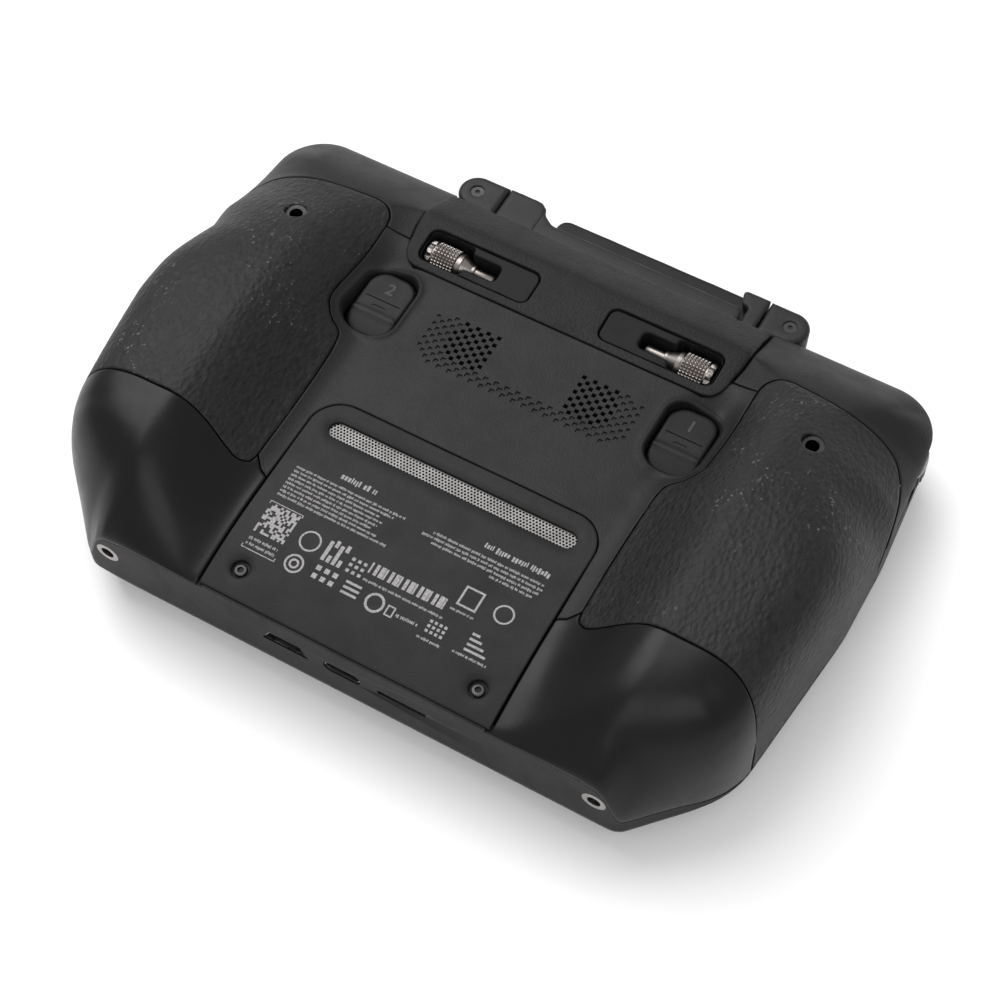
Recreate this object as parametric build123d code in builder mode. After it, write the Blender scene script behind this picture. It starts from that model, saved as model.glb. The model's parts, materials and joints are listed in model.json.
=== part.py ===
from build123d import *
import os
from math import radians, tan

# Radio transmitter controller with a built-in screen, folded antennas and stowed control sticks.
# It lies on its screen. +Z points out of the back, +Y towards the antenna edge, +X to the right
# as seen from the back. The origin is on the screen bezel's plane, under the middle of the body.
# Left and right in the names are as seen from the back. All lengths are in millimetres.

# ---- driving dimensions -------------------------------------------------------------------

half_width = 91.6          # middle to the side wall
bottom_y = -68.7           # rail with the ports
shoulder_y = 58.6          # top edge beside the antennas
shoulder_x = 51.2          # inner end of the shoulders' top edge
bay_wall_y = 56.5          # top edge behind the antennas
antenna_y = 63.6           # antenna swing axes
antenna_x = {"left": -41.3, "right": 45.7}

wing_front_z = 3.0         # front wall beside the raised screen bezel
belt_z = 11.0              # below this the walls lean in towards the screen
front_inset = 2.8
seam_z = 22.0              # joint between the front frame and the rear shells
back_z = 32.0              # flat middle of the back
crest_z = 46.9             # the grips' crest in the middle section; it swells 0.7 higher between sections

wall = 2.4                 # shell thickness
panel_x = 38.0             # half width of the flat middle panel
label_half = 36.8          # half width of the label plate
label_top_y = -13.4
bay_seam_y = 28.2          # lower edge of the stick bay cover
bay_half = 43.4
running = 0.05             # radial clearance of a pin in its bore
gap = 0.3                  # clearance between faces that move past each other

screen_half_x = 67.0
screen_low_y = -62.0
screen_high_y = 16.6
bezel = 2.8                # width of the raised bezel

gimbal_x = 57.0            # control stick pivots
gimbal_y = 33.0
gimbal_z = 18.7
dome_r = 13.0
gimbal_top_z = 26.5        # back of the gimbal cups

dial_x = 80.8              # thumb dials
dial_y = 42.5
dial_r = 9.6
dial_z = 15.6
dial_height = 5.0
dial_axle_r = 1.2
rim_height = 0.8           # bright ring on each dial
rim_width = 2.4

slot_y = 35.4              # stick slots in the bay cover
slot_inner_x = 9.2
slot_outer_x = 39.7
slot_height = 9.8
stick_z = 28.7             # axis of a stowed stick
stick_head_r = 3.7

c_button_x = 40.2          # custom buttons beside the grips
c_button_y = 15.5
c_button_width = 12.6
c_button_length = 18.6
c_button_z = 30.4          # highest point of the button
c_button_depth = 2.8

port_z = 20.6
usb_x = -0.15
hdmi_x = -14.95
card_x = 15.15

grip_thread = (68.1, 23.5, 39.0)       # M4 insert in each grip
bottom_thread = (62.6, 22.0)           # threaded insert in each end of the rail, x and z
thread_r = 1.65                        # M4 x 0.7 tapping bore
insert_r = 2.9
insert_length = 6.5
rail_boss_r = 5.0

five_way = (0.0, 28.0, 7.8)            # pivot of the five-way control
sides = {"left": -1, "right": 1}

os.makedirs("parts", exist_ok=True)


def save(part, name):
    """Labels a finished piece and writes it as its own file."""
    part.label = name
    export_step(part, "parts/" + name + ".step")


def both_sides(right_half):
    """A closed outline from the points of its right half."""
    left_half = [(-x, y) for x, y in reversed(right_half)]
    return right_half + left_half


# ---- outlines shared by several pieces ----------------------------------------------------

def plan_outline(inset):
    """The plan outline, drawn in at the rail and side walls, and less so at the shoulders."""
    side_x = half_width - inset
    top_y = shoulder_y - inset / 2
    return both_sides([
        (68.6 - 0.43 * inset, bottom_y + inset), (86.7 - 0.96 * inset, -49.3 + 0.44 * inset),
        (side_x, -3.0), (side_x, 18.0), (side_x - 3.2, top_y), (shoulder_x, top_y), (shoulder_x, bay_wall_y),
    ])


outline_radii = [5, 24, 60, 60, 13, 0, 0, 0, 0, 13, 60, 60, 24, 5]


def body_block(inset, low_z, high_z):
    """The controller's plan outline as a solid, set in from the walls by an inset."""
    with BuildPart() as block:
        with BuildSketch(Plane.XY.offset(low_z)):
            with BuildLine():
                FilletPolyline(*plan_outline(0), radius=outline_radii, close=True)
            make_face()
            if inset > 0:
                offset(amount=-inset, mode=Mode.REPLACE)
        extrude(amount=high_z - low_z)
    return block.part


# Heights of the right wing's back surface in sections along Y: at the panel's edge, on the inner
# slope, at the crest, on the outer slope and at the side wall.
wing_sections = [
    (-72.0, 30.0, 29.6, 28.0, 25.4, 22.6),
    (-60.0, 32.0, 33.5, 35.5, 32.0, 23.2),
    (-42.0, 32.0, 37.0, 43.6, 40.0, 24.2),
    (-20.0, 32.0, 37.0, 46.5, 43.8, 25.4),
    (2.0, 32.0, 34.6, crest_z, 43.8, 25.4),
    (22.0, 32.0, 32.6, 42.0, 40.6, 24.6),
    (40.0, 32.6, 32.8, 35.4, 34.4, 24.0),
    (60.0, 28.5, 28.0, 27.0, 25.6, 23.0),
]


def wing_block(side, inset):
    """One wing's rounded back, from the panel's edge out to the side wall."""
    with BuildPart() as block:
        for y, edge_z, slope_z, top_z, outer_z, side_z in wing_sections:
            with BuildSketch(Plane.XZ.offset(-y)):
                with BuildLine():
                    crown = Spline(
                        (side * panel_x, edge_z - inset),
                        (side * 47.0, slope_z - inset),
                        (side * 62.0, top_z - inset),
                        (side * (76.0 - inset / 2), outer_z - inset),
                        (side * (half_width + 0.4 - inset), side_z - inset / 2),
                    )
                    Polyline(
                        crown @ 1,
                        (side * (half_width + 0.4 - inset), seam_z - 4),
                        (side * panel_x, seam_z - 4),
                        crown @ 0,
                    )
                make_face()
        loft()
    return block.part


def prism(points, low_z, high_z, radii=0.0):
    """A straight prism over a closed plan outline."""
    with BuildPart() as block:
        with BuildSketch(Plane.XY.offset(low_z)):
            with BuildLine():
                FilletPolyline(*points, radius=radii, close=True)
            make_face()
        extrude(amount=high_z - low_z)
    return block.part


def to_side(points, side):
    """Plan points of the right wing moved to the given side, keeping their direction."""
    moved = [(side * x, y) for x, y in points]
    return moved if side > 0 else moved[::-1]


rail_points = [(-68.0, seam_z), (-40.0, 28.5), (40.0, 28.5), (68.0, seam_z), (68.0, 20.0), (-68.0, 20.0)]


def rail_block(depth):
    """The rail's wall, which rises above the seam in the middle."""
    with BuildPart() as block:
        with BuildSketch(Plane.XZ.offset(-bottom_y)):
            with BuildLine():
                Polyline(*rail_points, close=True)
            make_face()
        extrude(amount=-depth)
    return block.part


# Plan outlines of the right wing's pieces. They share their seams.
grip_inner_seam = [(41.0, -39.6), (42.0, -22.0), (42.4, -1.0), (49.6, 26.0), (50.6, 33.5)]
grip_top_seam = [(54.0, 39.4), (66.0, 39.8), (77.0, 38.0), (84.0, 34.6), (89.0, 28.6), (96.0, 21.0)]
grip_low_seam = [(96.0, -41.8), (86.8, -41.4), (82.5, -39.2), (77.0, -37.8), (65.0, -37.2), (52.6, -37.4)]
grip_points = grip_inner_seam + grip_top_seam + grip_low_seam
swell_inner_x = 38.6
swell_points = [
    (swell_inner_x, -72.0), (96.0, -72.0), *grip_low_seam, grip_inner_seam[0], (swell_inner_x, -39.6),
]
shoulder_points = [(bay_half, 34.6), grip_inner_seam[-1]] + grip_top_seam + [(96.0, 62.0), (bay_half, 62.0)]

# ---- front frame: the tray that holds everything ------------------------------------------

front_buttons = {
    "home_button": (-26.0, 30.0),
    "pause_button": (-26.0, 46.0),
    "back_button": (26.0, 30.0),
    "power_button": (26.0, 46.0),
}
front_button_r = 4.4
mode_switch_y = 45.0
mode_switch_travel = 4.0
mode_slot = (20.0, 5.0)
shoulder_button_x = 66.0
shoulder_button_z = 16.0
shoulder_button = (13.0, 6.4)
gimbal_opening_r = 11.4
five_way_cap_r = 6.2
yoke_post_x = 9.3          # posts on each side of the five-way control
yoke_pin_r = 0.8
usb_window = (9.5, 3.7)
hdmi_window = (12.1, 3.9)
hdmi_slant = 62            # degrees
card_window = (12.2, 1.5)

with BuildPart() as front_frame:
    # the walls lean in towards the screen below the belt line
    for z, inset in ((wing_front_z, front_inset), (belt_z, 0.0)):
        with BuildSketch(Plane.XY.offset(z)):
            with BuildLine():
                FilletPolyline(*plan_outline(inset), radius=outline_radii, close=True)
            make_face()
    loft(ruled=True)
    add(body_block(0, belt_z, seam_z))
    with BuildSketch(Plane.XY):
        with Locations((0, (screen_low_y + screen_high_y) / 2)):
            RectangleRounded(
                2 * (screen_half_x + bezel), screen_high_y - screen_low_y + 2 * bezel, 6.0
            )
    extrude(amount=wing_front_z + 1)
    add(body_block(wall + front_inset, wing_front_z + 2.2, belt_z + 1), mode=Mode.SUBTRACT)
    add(body_block(wall, belt_z, seam_z + 1), mode=Mode.SUBTRACT)
    add(rail_block(wall))
    with BuildSketch(Plane.XY):
        with Locations((0, (screen_low_y + screen_high_y) / 2)):
            RectangleRounded(2 * screen_half_x, screen_high_y - screen_low_y, 4.0)
    extrude(amount=wing_front_z + 3, mode=Mode.SUBTRACT)
    # openings of the sticks, front buttons, five-way control and mode switch
    with BuildSketch(Plane.XY):
        with Locations((-gimbal_x, gimbal_y), (gimbal_x, gimbal_y)):
            Circle(gimbal_opening_r)
        with Locations(*front_buttons.values()):
            Circle(front_button_r + gap)
        with Locations(five_way[:2]):
            Circle(five_way_cap_r + 1.6)
        with Locations((0, mode_switch_y)):
            SlotOverall(mode_slot[0], mode_slot[1])
    extrude(amount=wing_front_z + 3, mode=Mode.SUBTRACT)
    # posts that carry the five-way control's outer pivot
    with Locations(*[(five_way[0] + s * yoke_post_x, five_way[1], wing_front_z + 4.4) for s in (-1, 1)]):
        Box(2.0, 4.0, 5.2)
    with Locations(Location(five_way, (0, 90, 0))):
        Cylinder(yoke_pin_r + running, 24.0, mode=Mode.SUBTRACT)
    # slots where the thumb dials come out, and the posts and axles that carry them
    with Locations(*[(side * (dial_x + 6), dial_y + 1, seam_z) for side in sides.values()]):
        Box(16.0, 21.0, 2 * (seam_z - dial_z + gap), mode=Mode.SUBTRACT)
    with Locations(*[(side * dial_x, dial_y, wing_front_z + 1) for side in sides.values()]):
        Cylinder(3.0, dial_z - gap - wing_front_z - 1, align=(Align.CENTER, Align.CENTER, Align.MIN))
        Cylinder(
            dial_axle_r, dial_z + dial_height - wing_front_z - 1,
            align=(Align.CENTER, Align.CENTER, Align.MIN),
        )
    # windows of the record and shutter buttons in the top wall
    with BuildSketch(Plane.XZ.offset(-shoulder_y - 1)):
        with Locations(*[(side * shoulder_button_x, shoulder_button_z) for side in sides.values()]):
            RectangleRounded(shoulder_button[0] + 2 * gap, shoulder_button[1] + 2 * gap, 2.0)
    extrude(amount=wall + 2, mode=Mode.SUBTRACT)
    # port windows and the two insert bosses in the rail
    with BuildSketch(Plane.XZ.offset(-bottom_y + 1)):
        with Locations((usb_x, port_z)):
            SlotOverall(*usb_window)
        with Locations((hdmi_x, port_z)):
            Trapezoid(*hdmi_window, hdmi_slant)
        with Locations((card_x, port_z)):
            Rectangle(*card_window)
    extrude(amount=-wall - 2, mode=Mode.SUBTRACT)
    with Locations(*[
        Location((side * bottom_thread[0], bottom_y + 0.4, bottom_thread[1] - 1.0), (90, 0, 0))
        for side in sides.values()
    ]):
        Cylinder(rail_boss_r, insert_length + 1.6, align=(Align.CENTER, Align.CENTER, Align.MAX))
    with Locations(*[
        Location((side * bottom_thread[0], bottom_y - 1, bottom_thread[1] - 1.0), (90, 0, 0))
        for side in sides.values()
    ]):
        Cylinder(
            insert_r, insert_length + 1, align=(Align.CENTER, Align.CENTER, Align.MAX),
            mode=Mode.SUBTRACT,
        )
save(front_frame.part, "front_frame")

# ---- rear shells ---------------------------------------------------------------------------

outer_body = body_block(0, seam_z, 60.0)
inner_body = body_block(wall, seam_z - 1, 60.0)
wings = {name: wing_block(side, 0.0) & outer_body for name, side in sides.items()}
wing_voids = {name: wing_block(side, wall) & inner_body for name, side in sides.items()}
rail_wall = rail_block(wall)

insert_x, insert_y, insert_top_z = grip_thread
insert_boss_r = insert_r + 1.4

for name, side in sides.items():
    with BuildPart() as grip:
        add(wings[name])
        add(prism(to_side(grip_points, side), 0, 60.0), mode=Mode.INTERSECT)
        add(wing_voids[name], mode=Mode.SUBTRACT)
        # boss of the threaded insert
        with Locations((side * insert_x, insert_y, 0)):
            Cylinder(
                insert_boss_r, insert_top_z - 1,
                align=(Align.CENTER, Align.CENTER, Align.MIN),
            )
        with Locations((side * insert_x, insert_y, 0)):
            Cylinder(
                20.0, insert_top_z - 12,
                align=(Align.CENTER, Align.CENTER, Align.MIN), mode=Mode.SUBTRACT,
            )
        with Locations((side * insert_x, insert_y, insert_top_z - insert_length - 0.4)):
            Cylinder(insert_r, 30.0, align=(Align.CENTER, Align.CENTER, Align.MIN), mode=Mode.SUBTRACT)
    save(grip.part, "grip_" + name)

    with BuildPart() as palm_swell:
        add(wings[name])
        add(prism(to_side(swell_points, side), 0, 60.0), mode=Mode.INTERSECT)
        add(wing_voids[name], mode=Mode.SUBTRACT)
        add(rail_wall, mode=Mode.SUBTRACT)
        with Locations(Location((side * bottom_thread[0], bottom_y, bottom_thread[1] - 1.0), (90, 0, 0))):
            Cylinder(rail_boss_r + 0.05, 30, mode=Mode.SUBTRACT)
    save(palm_swell.part, "palm_swell_" + name)

    with BuildPart() as shoulder:
        add(wings[name])
        add(prism(to_side(shoulder_points, side), 0, 60.0), mode=Mode.INTERSECT)
        add(wing_voids[name], mode=Mode.SUBTRACT)
    save(shoulder.part, "shoulder_" + name)

# room for the cups of the two control sticks
with BuildPart() as gimbal_room:
    with Locations(*[(side * gimbal_x, gimbal_y, gimbal_z) for side in sides.values()]):
        Cylinder(dome_r + 2.1, 2 * (gimbal_top_z - gimbal_z))
gimbal_clearance = gimbal_room.part

# middle of the back: a flat panel, and the strips that run up to the grips
strip_points = [(panel_x - 2, -39.6)] + grip_inner_seam + [
    (bay_half, 34.6), (bay_half, bay_seam_y), (panel_x - 2, bay_seam_y),
]
button_recess = (c_button_width + 1.6, c_button_length + 1.6)
intake_x = 21.0            # middle of each group of intake holes
intake_y = 7.0
intake_pitch = 4.2
intake_hole = 1.4
exhaust_y = -20.4
exhaust_size = (64.0, 4.4)
label_depth = 0.8

with BuildPart() as rear_center_shell:
    with BuildSketch(Plane.XY.offset(seam_z)):
        with Locations((0, (bottom_y + bay_seam_y) / 2)):
            Rectangle(2 * swell_inner_x, bay_seam_y - bottom_y)
    extrude(amount=back_z - seam_z)
    with BuildSketch(Plane.XY.offset(seam_z - 1)):
        with Locations((0, (bottom_y + bay_seam_y) / 2)):
            Rectangle(2 * swell_inner_x + 10, bay_seam_y - bottom_y - 2 * wall)
    extrude(amount=back_z - seam_z + 1 - wall, mode=Mode.SUBTRACT)
    for name, side in sides.items():
        strip = prism(to_side(strip_points, side), 0, 60.0)
        add((wings[name] & strip) - wing_voids[name])
    add(rail_wall, mode=Mode.SUBTRACT)
    # the panel stays flat where the wings' slopes begin
    with Locations((0, (bottom_y + bay_seam_y) / 2, back_z)):
        Box(
            2 * panel_x, bay_seam_y - bottom_y, 20,
            align=(Align.CENTER, Align.CENTER, Align.MIN), mode=Mode.SUBTRACT,
        )
    # recess of the label plate
    with BuildSketch(Plane.XY.offset(back_z)):
        with Locations((0, (bottom_y + label_top_y) / 2)):
            Rectangle(2 * label_half, label_top_y - bottom_y)
    extrude(amount=-label_depth, mode=Mode.SUBTRACT)
    # exhaust slot and the two groups of intake holes
    with BuildSketch(Plane.XY.offset(back_z)):
        with Locations((0, exhaust_y)):
            SlotOverall(exhaust_size[0] - 1.0, exhaust_size[1] - 1.0)
        with Locations((-intake_x, intake_y), (intake_x, intake_y)):
            with GridLocations(intake_pitch, intake_pitch, 4, 3):
                Rectangle(intake_hole, intake_hole, rotation=45)
    extrude(amount=-10, mode=Mode.SUBTRACT)
    # wells of the two custom buttons
    with BuildSketch(Plane.XY.offset(c_button_z - c_button_depth - 2.4)):
        with Locations(*[(side * c_button_x, c_button_y) for side in sides.values()]):
            RectangleRounded(button_recess[0] + 2.4, button_recess[1] + 2.4, 5.6)
    extrude(amount=c_button_depth + 1.2)
    add(gimbal_clearance, mode=Mode.SUBTRACT)
    with BuildSketch(Plane.XY.offset(c_button_z - c_button_depth - 1.0)):
        with Locations(*[(side * c_button_x, c_button_y) for side in sides.values()]):
            RectangleRounded(button_recess[0], button_recess[1], 4.8)
    extrude(amount=20, mode=Mode.SUBTRACT)
save(rear_center_shell.part, "rear_center_shell")

label_screws = [(-30.3, -61.2), (30.3, -61.2)]
screw_head_r = 1.9
screw_shank_r = 0.95

with BuildPart() as label_plate:
    with BuildSketch(Plane.XY.offset(back_z - label_depth)):
        with Locations((0, (bottom_y + label_top_y) / 2)):
            Rectangle(2 * (label_half - 0.2), label_top_y - bottom_y - 0.4)
        with Locations((0, exhaust_y)):
            SlotOverall(*exhaust_size, mode=Mode.SUBTRACT)
        with Locations(*label_screws):
            Circle(screw_head_r + 0.5, mode=Mode.SUBTRACT)
    extrude(amount=label_depth)
    top_corners = label_plate.edges().filter_by(Axis.Z).group_by(Axis.Y)[-1]
    fillet(top_corners, radius=7.5)
save(label_plate.part, "label_plate")

with BuildPart() as exhaust_mesh:
    with BuildSketch(Plane.XY.offset(back_z - label_depth)):
        with Locations((0, exhaust_y)):
            SlotOverall(exhaust_size[0] - 0.4, exhaust_size[1] - 0.4)
            with GridLocations(3.0, 1.6, 20, 2):
                Circle(0.5, mode=Mode.SUBTRACT)
    extrude(amount=0.4)
save(exhaust_mesh.part, "exhaust_mesh")

with BuildPart() as label_screw_pair:
    for x, y in label_screws:
        with BuildSketch(Plane.XY.offset(back_z - label_depth)):
            with Locations((x, y)):
                Circle(screw_head_r)
                RegularPolygon(0.8, 6, mode=Mode.SUBTRACT)
        extrude(amount=0.7)
save(label_screw_pair.part, "label_screws")

# stick bay cover: a raised ridge along its middle, then a slope down to the top edge
bay_profile = [
    (bay_seam_y, back_z + 0.1), (41.0, 33.0), (43.5, 33.2), (46.0, 32.6), (54.0, 29.6),
    (bay_wall_y - 0.3, 27.4),
    (bay_wall_y - 0.3, seam_z), (bay_seam_y, seam_z),
]
bay_roof = 1.8
liner_depth = 7.6
slot_x = (slot_inner_x + slot_outer_x) / 2
slot_width = slot_outer_x - slot_inner_x

with BuildPart() as bay_cover:
    with BuildSketch(Plane.YZ.offset(-bay_half)):
        with BuildLine():
            Polyline(*bay_profile, close=True)
        make_face()
        with BuildLine():
            inner_profile = [(y, z - bay_roof) for y, z in bay_profile[:5]]
            Polyline(
                (bay_seam_y + wall, inner_profile[0][1]), *inner_profile[1:],
                (bay_profile[4][0], seam_z - 1), (bay_seam_y + wall, seam_z - 1), close=True,
            )
        make_face(mode=Mode.SUBTRACT)
    extrude(amount=2 * bay_half)
    with BuildSketch(Plane.XY.offset(seam_z)):
        with Locations((-slot_x, slot_y), (slot_x, slot_y)):
            RectangleRounded(slot_width, slot_height, 2.4)
    extrude(amount=20, mode=Mode.SUBTRACT)
    fillet(bay_cover.edges().filter_by(Axis.Z).group_by(Axis.Y)[0], radius=1.5)
    add(gimbal_clearance, mode=Mode.SUBTRACT)
save(bay_cover.part, "bay_cover")

stick_tip_x = 20.5
stick_ring_x = 24.8
stick_neck_x = 26.5
stick_head_x = 29.2
stick_end_x = 38.4
stick_pin_r = 1.45
head_pit = (28.6, 39.0)    # deep part of the liner under the head, from and to x
pin_groove = (16.6, 29.0)  # shallow part under the pin

for name, side in sides.items():
    # soft liner: a tub under the slot, deep under the stick's head and shallow under its pin
    with BuildPart() as stick_liner:
        with BuildSketch(Plane.XY.offset(seam_z + 0.4)):
            with Locations((side * slot_x, slot_y)):
                RectangleRounded(slot_width - 0.2, slot_height - 0.2, 2.3)
        extrude(amount=back_z - 0.3 - seam_z - 0.4)
        with BuildSketch(Plane.XY.offset(back_z - liner_depth)):
            with Locations((side * (head_pit[0] + head_pit[1]) / 2, slot_y)):
                RectangleRounded(head_pit[1] - head_pit[0], slot_height - 1.2, 1.8)
        extrude(amount=20, mode=Mode.SUBTRACT)
        with BuildSketch(Plane.XY.offset(stick_z - 2.4)):
            with Locations((side * (pin_groove[0] + pin_groove[1]) / 2, slot_y)):
                SlotOverall(pin_groove[1] - pin_groove[0] + 3, 4.6)
        extrude(amount=20, mode=Mode.SUBTRACT)
        with BuildSketch(Plane.XY.offset(stick_z - stick_head_r - gap)):
            with Locations((side * stick_neck_x, slot_y)):
                Rectangle(5.6, 2 * stick_head_r + 0.6)
        extrude(amount=20, mode=Mode.SUBTRACT)
    save(stick_liner.part, "stick_liner_" + name)

    # stowed control stick: knurled head, ring, tapered neck and threaded pin
    with BuildPart() as stick:
        with BuildSketch(Plane.XZ.offset(-slot_y)):
            with BuildLine():
                Polyline(
                    (side * stick_tip_x, stick_z), (side * stick_tip_x, stick_z + stick_pin_r),
                    (side * stick_ring_x, stick_z + stick_pin_r),
                    (side * (stick_ring_x + 0.2), stick_z + 2.1),
                    (side * stick_neck_x, stick_z + 2.9), (side * stick_head_x, stick_z + 3.2),
                    (side * stick_head_x, stick_z + stick_head_r),
                    (side * stick_end_x, stick_z + stick_head_r),
                    (side * stick_end_x, stick_z), close=True,
                )
            make_face()
        revolve(axis=Axis((0, slot_y, stick_z), (1, 0, 0)))
        # crown teeth on the outer end
        with Locations(Location((side * stick_end_x, slot_y, stick_z), (0, side * 90, 0))):
            Cone(stick_head_r - 2.2, stick_head_r - 0.6, 3.0, mode=Mode.SUBTRACT)
            with PolarLocations(stick_head_r, 12):
                Box(2.6, 0.9, 1.6, mode=Mode.SUBTRACT)
    save(stick.part, "stick_" + name)

    # custom button: a ramp with a raised rim, on a plunger
    with BuildPart() as custom_button:
        with BuildSketch(Plane.XY.offset(c_button_z - c_button_depth)):
            with Locations((side * c_button_x, c_button_y)):
                RectangleRounded(c_button_width, c_button_length, 4.2)
        extrude(amount=c_button_depth)
        with BuildSketch(Plane.YZ.offset(-60)):
            with BuildLine():
                low_y = c_button_y - c_button_length / 2
                Polyline(
                    (low_y - 1, c_button_z - 1.9), (low_y + 7.0, c_button_z - 0.9), (low_y + 7.6, c_button_z),
                    (low_y + 7.6, c_button_z + 5), (low_y - 1, c_button_z + 5), close=True,
                )
            make_face()
        extrude(amount=120, mode=Mode.SUBTRACT)
    save(custom_button.part, "custom_button_" + name)

# ---- threaded inserts -----------------------------------------------------------------------

with BuildPart() as grip_inserts:
    for side in sides.values():
        with BuildSketch(Plane.XY.offset(insert_top_z - insert_length)):
            with Locations((side * insert_x, insert_y)):
                Circle(insert_r)
                Circle(thread_r, mode=Mode.SUBTRACT)
        extrude(amount=insert_length)
save(grip_inserts.part, "grip_inserts")

with BuildPart() as rail_inserts:
    for side in sides.values():
        with BuildSketch(Plane.XZ.offset(-bottom_y)):
            with Locations((side * bottom_thread[0], bottom_thread[1] - 1.0)):
                Circle(insert_r)
                Circle(thread_r, mode=Mode.SUBTRACT)
        extrude(amount=-insert_length)
save(rail_inserts.part, "rail_inserts")

# ---- screen and inner parts -------------------------------------------------------------------

screen_mid_y = (screen_low_y + screen_high_y) / 2
screen_height = screen_high_y - screen_low_y

glass_thickness = 1.2
display_thickness = 3.6
chassis_z = 5.8
chassis_thickness = 1.4
post_r = 2.6
post_spacing = (96.0, screen_height - 12)
post_height = 9.6

with BuildPart() as screen_glass:
    with BuildSketch(Plane.XY.offset(gap)):
        with Locations((0, screen_mid_y)):
            RectangleRounded(2 * screen_half_x - 0.3, screen_height - 0.3, 3.8)
    extrude(amount=glass_thickness)
save(screen_glass.part, "screen_glass")

with BuildPart() as display_panel:
    with BuildSketch(Plane.XY.offset(gap + glass_thickness)):
        with Locations((0, screen_mid_y)):
            Rectangle(2 * screen_half_x - 5, screen_height - 4)
    extrude(amount=display_thickness)
save(display_panel.part, "display_panel")

with BuildPart() as mid_chassis:
    with BuildSketch(Plane.XY.offset(chassis_z)):
        with Locations((0, screen_mid_y)):
            Rectangle(2 * screen_half_x - 3, screen_height - 1)
    extrude(amount=chassis_thickness)
    with BuildSketch(Plane.XY.offset(chassis_z + chassis_thickness)):
        with Locations((0, screen_mid_y)):
            with GridLocations(*post_spacing, 2, 2):
                Circle(post_r)
    extrude(amount=post_height)
save(mid_chassis.part, "mid_chassis")

board_z = 17.0
board_height = 1.4
board_low = (-24.5, 104.0, 81.0)         # middle y, width and length of the part below the fan
board_high = (33.0, 80.0, 40.0)          # and of the part above it
processor = 15.0
processor_places = [(-16.0, -32.0), (18.0, -34.0)]
memory = (8.0, 12.0)
memory_places = [(36.0, -8.0), (-36.0, -10.0)]
chip_height = 1.6

with BuildPart() as main_board:
    with BuildSketch(Plane.XY.offset(board_z)):
        for mid_y, width, length in (board_low, board_high):
            with Locations((0, mid_y)):
                Rectangle(width, length)
    extrude(amount=board_height)
    with BuildSketch(Plane.XY.offset(board_z)):
        with Locations(*processor_places):
            Rectangle(processor, processor)
        with Locations(*memory_places):
            Rectangle(*memory)
    extrude(amount=-chip_height)
save(main_board.part, "main_board")

button_board_z = 10.4
button_board_y = 35.7
button_board_size = (76.0, 29.6)

with BuildPart() as button_board:
    with BuildSketch(Plane.XY.offset(button_board_z)):
        with Locations((0, button_board_y)):
            Rectangle(*button_board_size)
        with Locations(five_way[:2]):
            Circle(11.5, mode=Mode.SUBTRACT)
    extrude(amount=1.2)
    # switches under the buttons
    with BuildSketch(Plane.XY.offset(button_board_z)):
        with Locations(*front_buttons.values()):
            Circle(2.0)
    extrude(amount=-1.6)
save(button_board.part, "button_board")

cell_r = 9.2
cell_length = 65.0
cell_x = 64.0
cell_y = -14.8
cell_z = 28.6
with BuildPart() as battery_cells:
    with Locations(*[Location((side * cell_x, cell_y, cell_z), (90, 0, 0)) for side in sides.values()]):
        Cylinder(cell_r, cell_length)
save(battery_cells.part, "battery_cells")

sink_y = -27.0
sink_size = (66.0, 22.0)
sink_base = 1.6
fin_pitch = 4.0
fin_count = 17
fin_thickness = 0.9
fin_height = 7.0

with BuildPart() as heat_sink:
    with BuildSketch(Plane.XY.offset(board_z + board_height)):
        with Locations((0, sink_y)):
            Rectangle(*sink_size)
    extrude(amount=sink_base)
    with BuildSketch(Plane.XY.offset(board_z + board_height + sink_base)):
        with Locations((0, sink_y)):
            with GridLocations(fin_pitch, 0, fin_count, 1):
                Rectangle(fin_thickness, sink_size[1])
    extrude(amount=fin_height)
save(heat_sink.part, "heat_sink")

fan_y = 5.0
fan_low_z = board_z + board_height
fan_side = 38.0
fan_floor = 1.2
fan_height = 10.0
axle_r = 1.0
rotor_r = 15.0
hub_r = 6.0
blade_count = 11

with BuildPart() as fan_housing:
    with BuildSketch(Plane.XY.offset(fan_low_z)):
        with Locations((0, fan_y)):
            RectangleRounded(fan_side, fan_side, 4.0)
    extrude(amount=fan_height)
    with BuildSketch(Plane.XY.offset(fan_low_z + fan_floor)):
        with Locations((0, fan_y)):
            Circle(rotor_r + 1.2)
    extrude(amount=fan_height, mode=Mode.SUBTRACT)
    with BuildSketch(Plane.XY.offset(fan_low_z + fan_floor)):
        with Locations((0, fan_y)):
            Circle(axle_r)
    extrude(amount=6.0)
    # air leaves towards the heat sink
    with Locations((0, fan_y - 14.0, fan_low_z + fan_floor)):
        Box(24.0, 16.0, fan_height, align=(Align.CENTER, Align.CENTER, Align.MIN), mode=Mode.SUBTRACT)
save(fan_housing.part, "fan_housing")

with BuildPart() as fan_rotor:
    with BuildSketch(Plane.XY.offset(fan_low_z + fan_floor + 0.5)):
        with Locations((0, fan_y)):
            Circle(hub_r)
            with PolarLocations(rotor_r / 2 + 2.4, blade_count):
                Rectangle(rotor_r - 5.2, 0.9, rotation=28)
            Circle(axle_r + running, mode=Mode.SUBTRACT)
    extrude(amount=7.2)
save(fan_rotor.part, "fan_rotor")

speaker_place = (-26.0, -50.0)
speaker_size = (24.0, 12.0, 5.0)

with BuildPart() as speaker:
    with BuildSketch(Plane.XY.offset(chassis_z + chassis_thickness + 0.2)):
        with Locations(speaker_place):
            RectangleRounded(speaker_size[0], speaker_size[1], 2.0)
    extrude(amount=speaker_size[2])
save(speaker.part, "speaker")

usb_shell = (9.1, 3.3)
usb_mouth = (8.5, 2.7)
hdmi_shell = (11.7, 3.5)
hdmi_mouth = (10.9, 2.8)
tongue_height = 0.7
sink_in = 0.3              # sockets sit this far behind the rail's face

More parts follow.
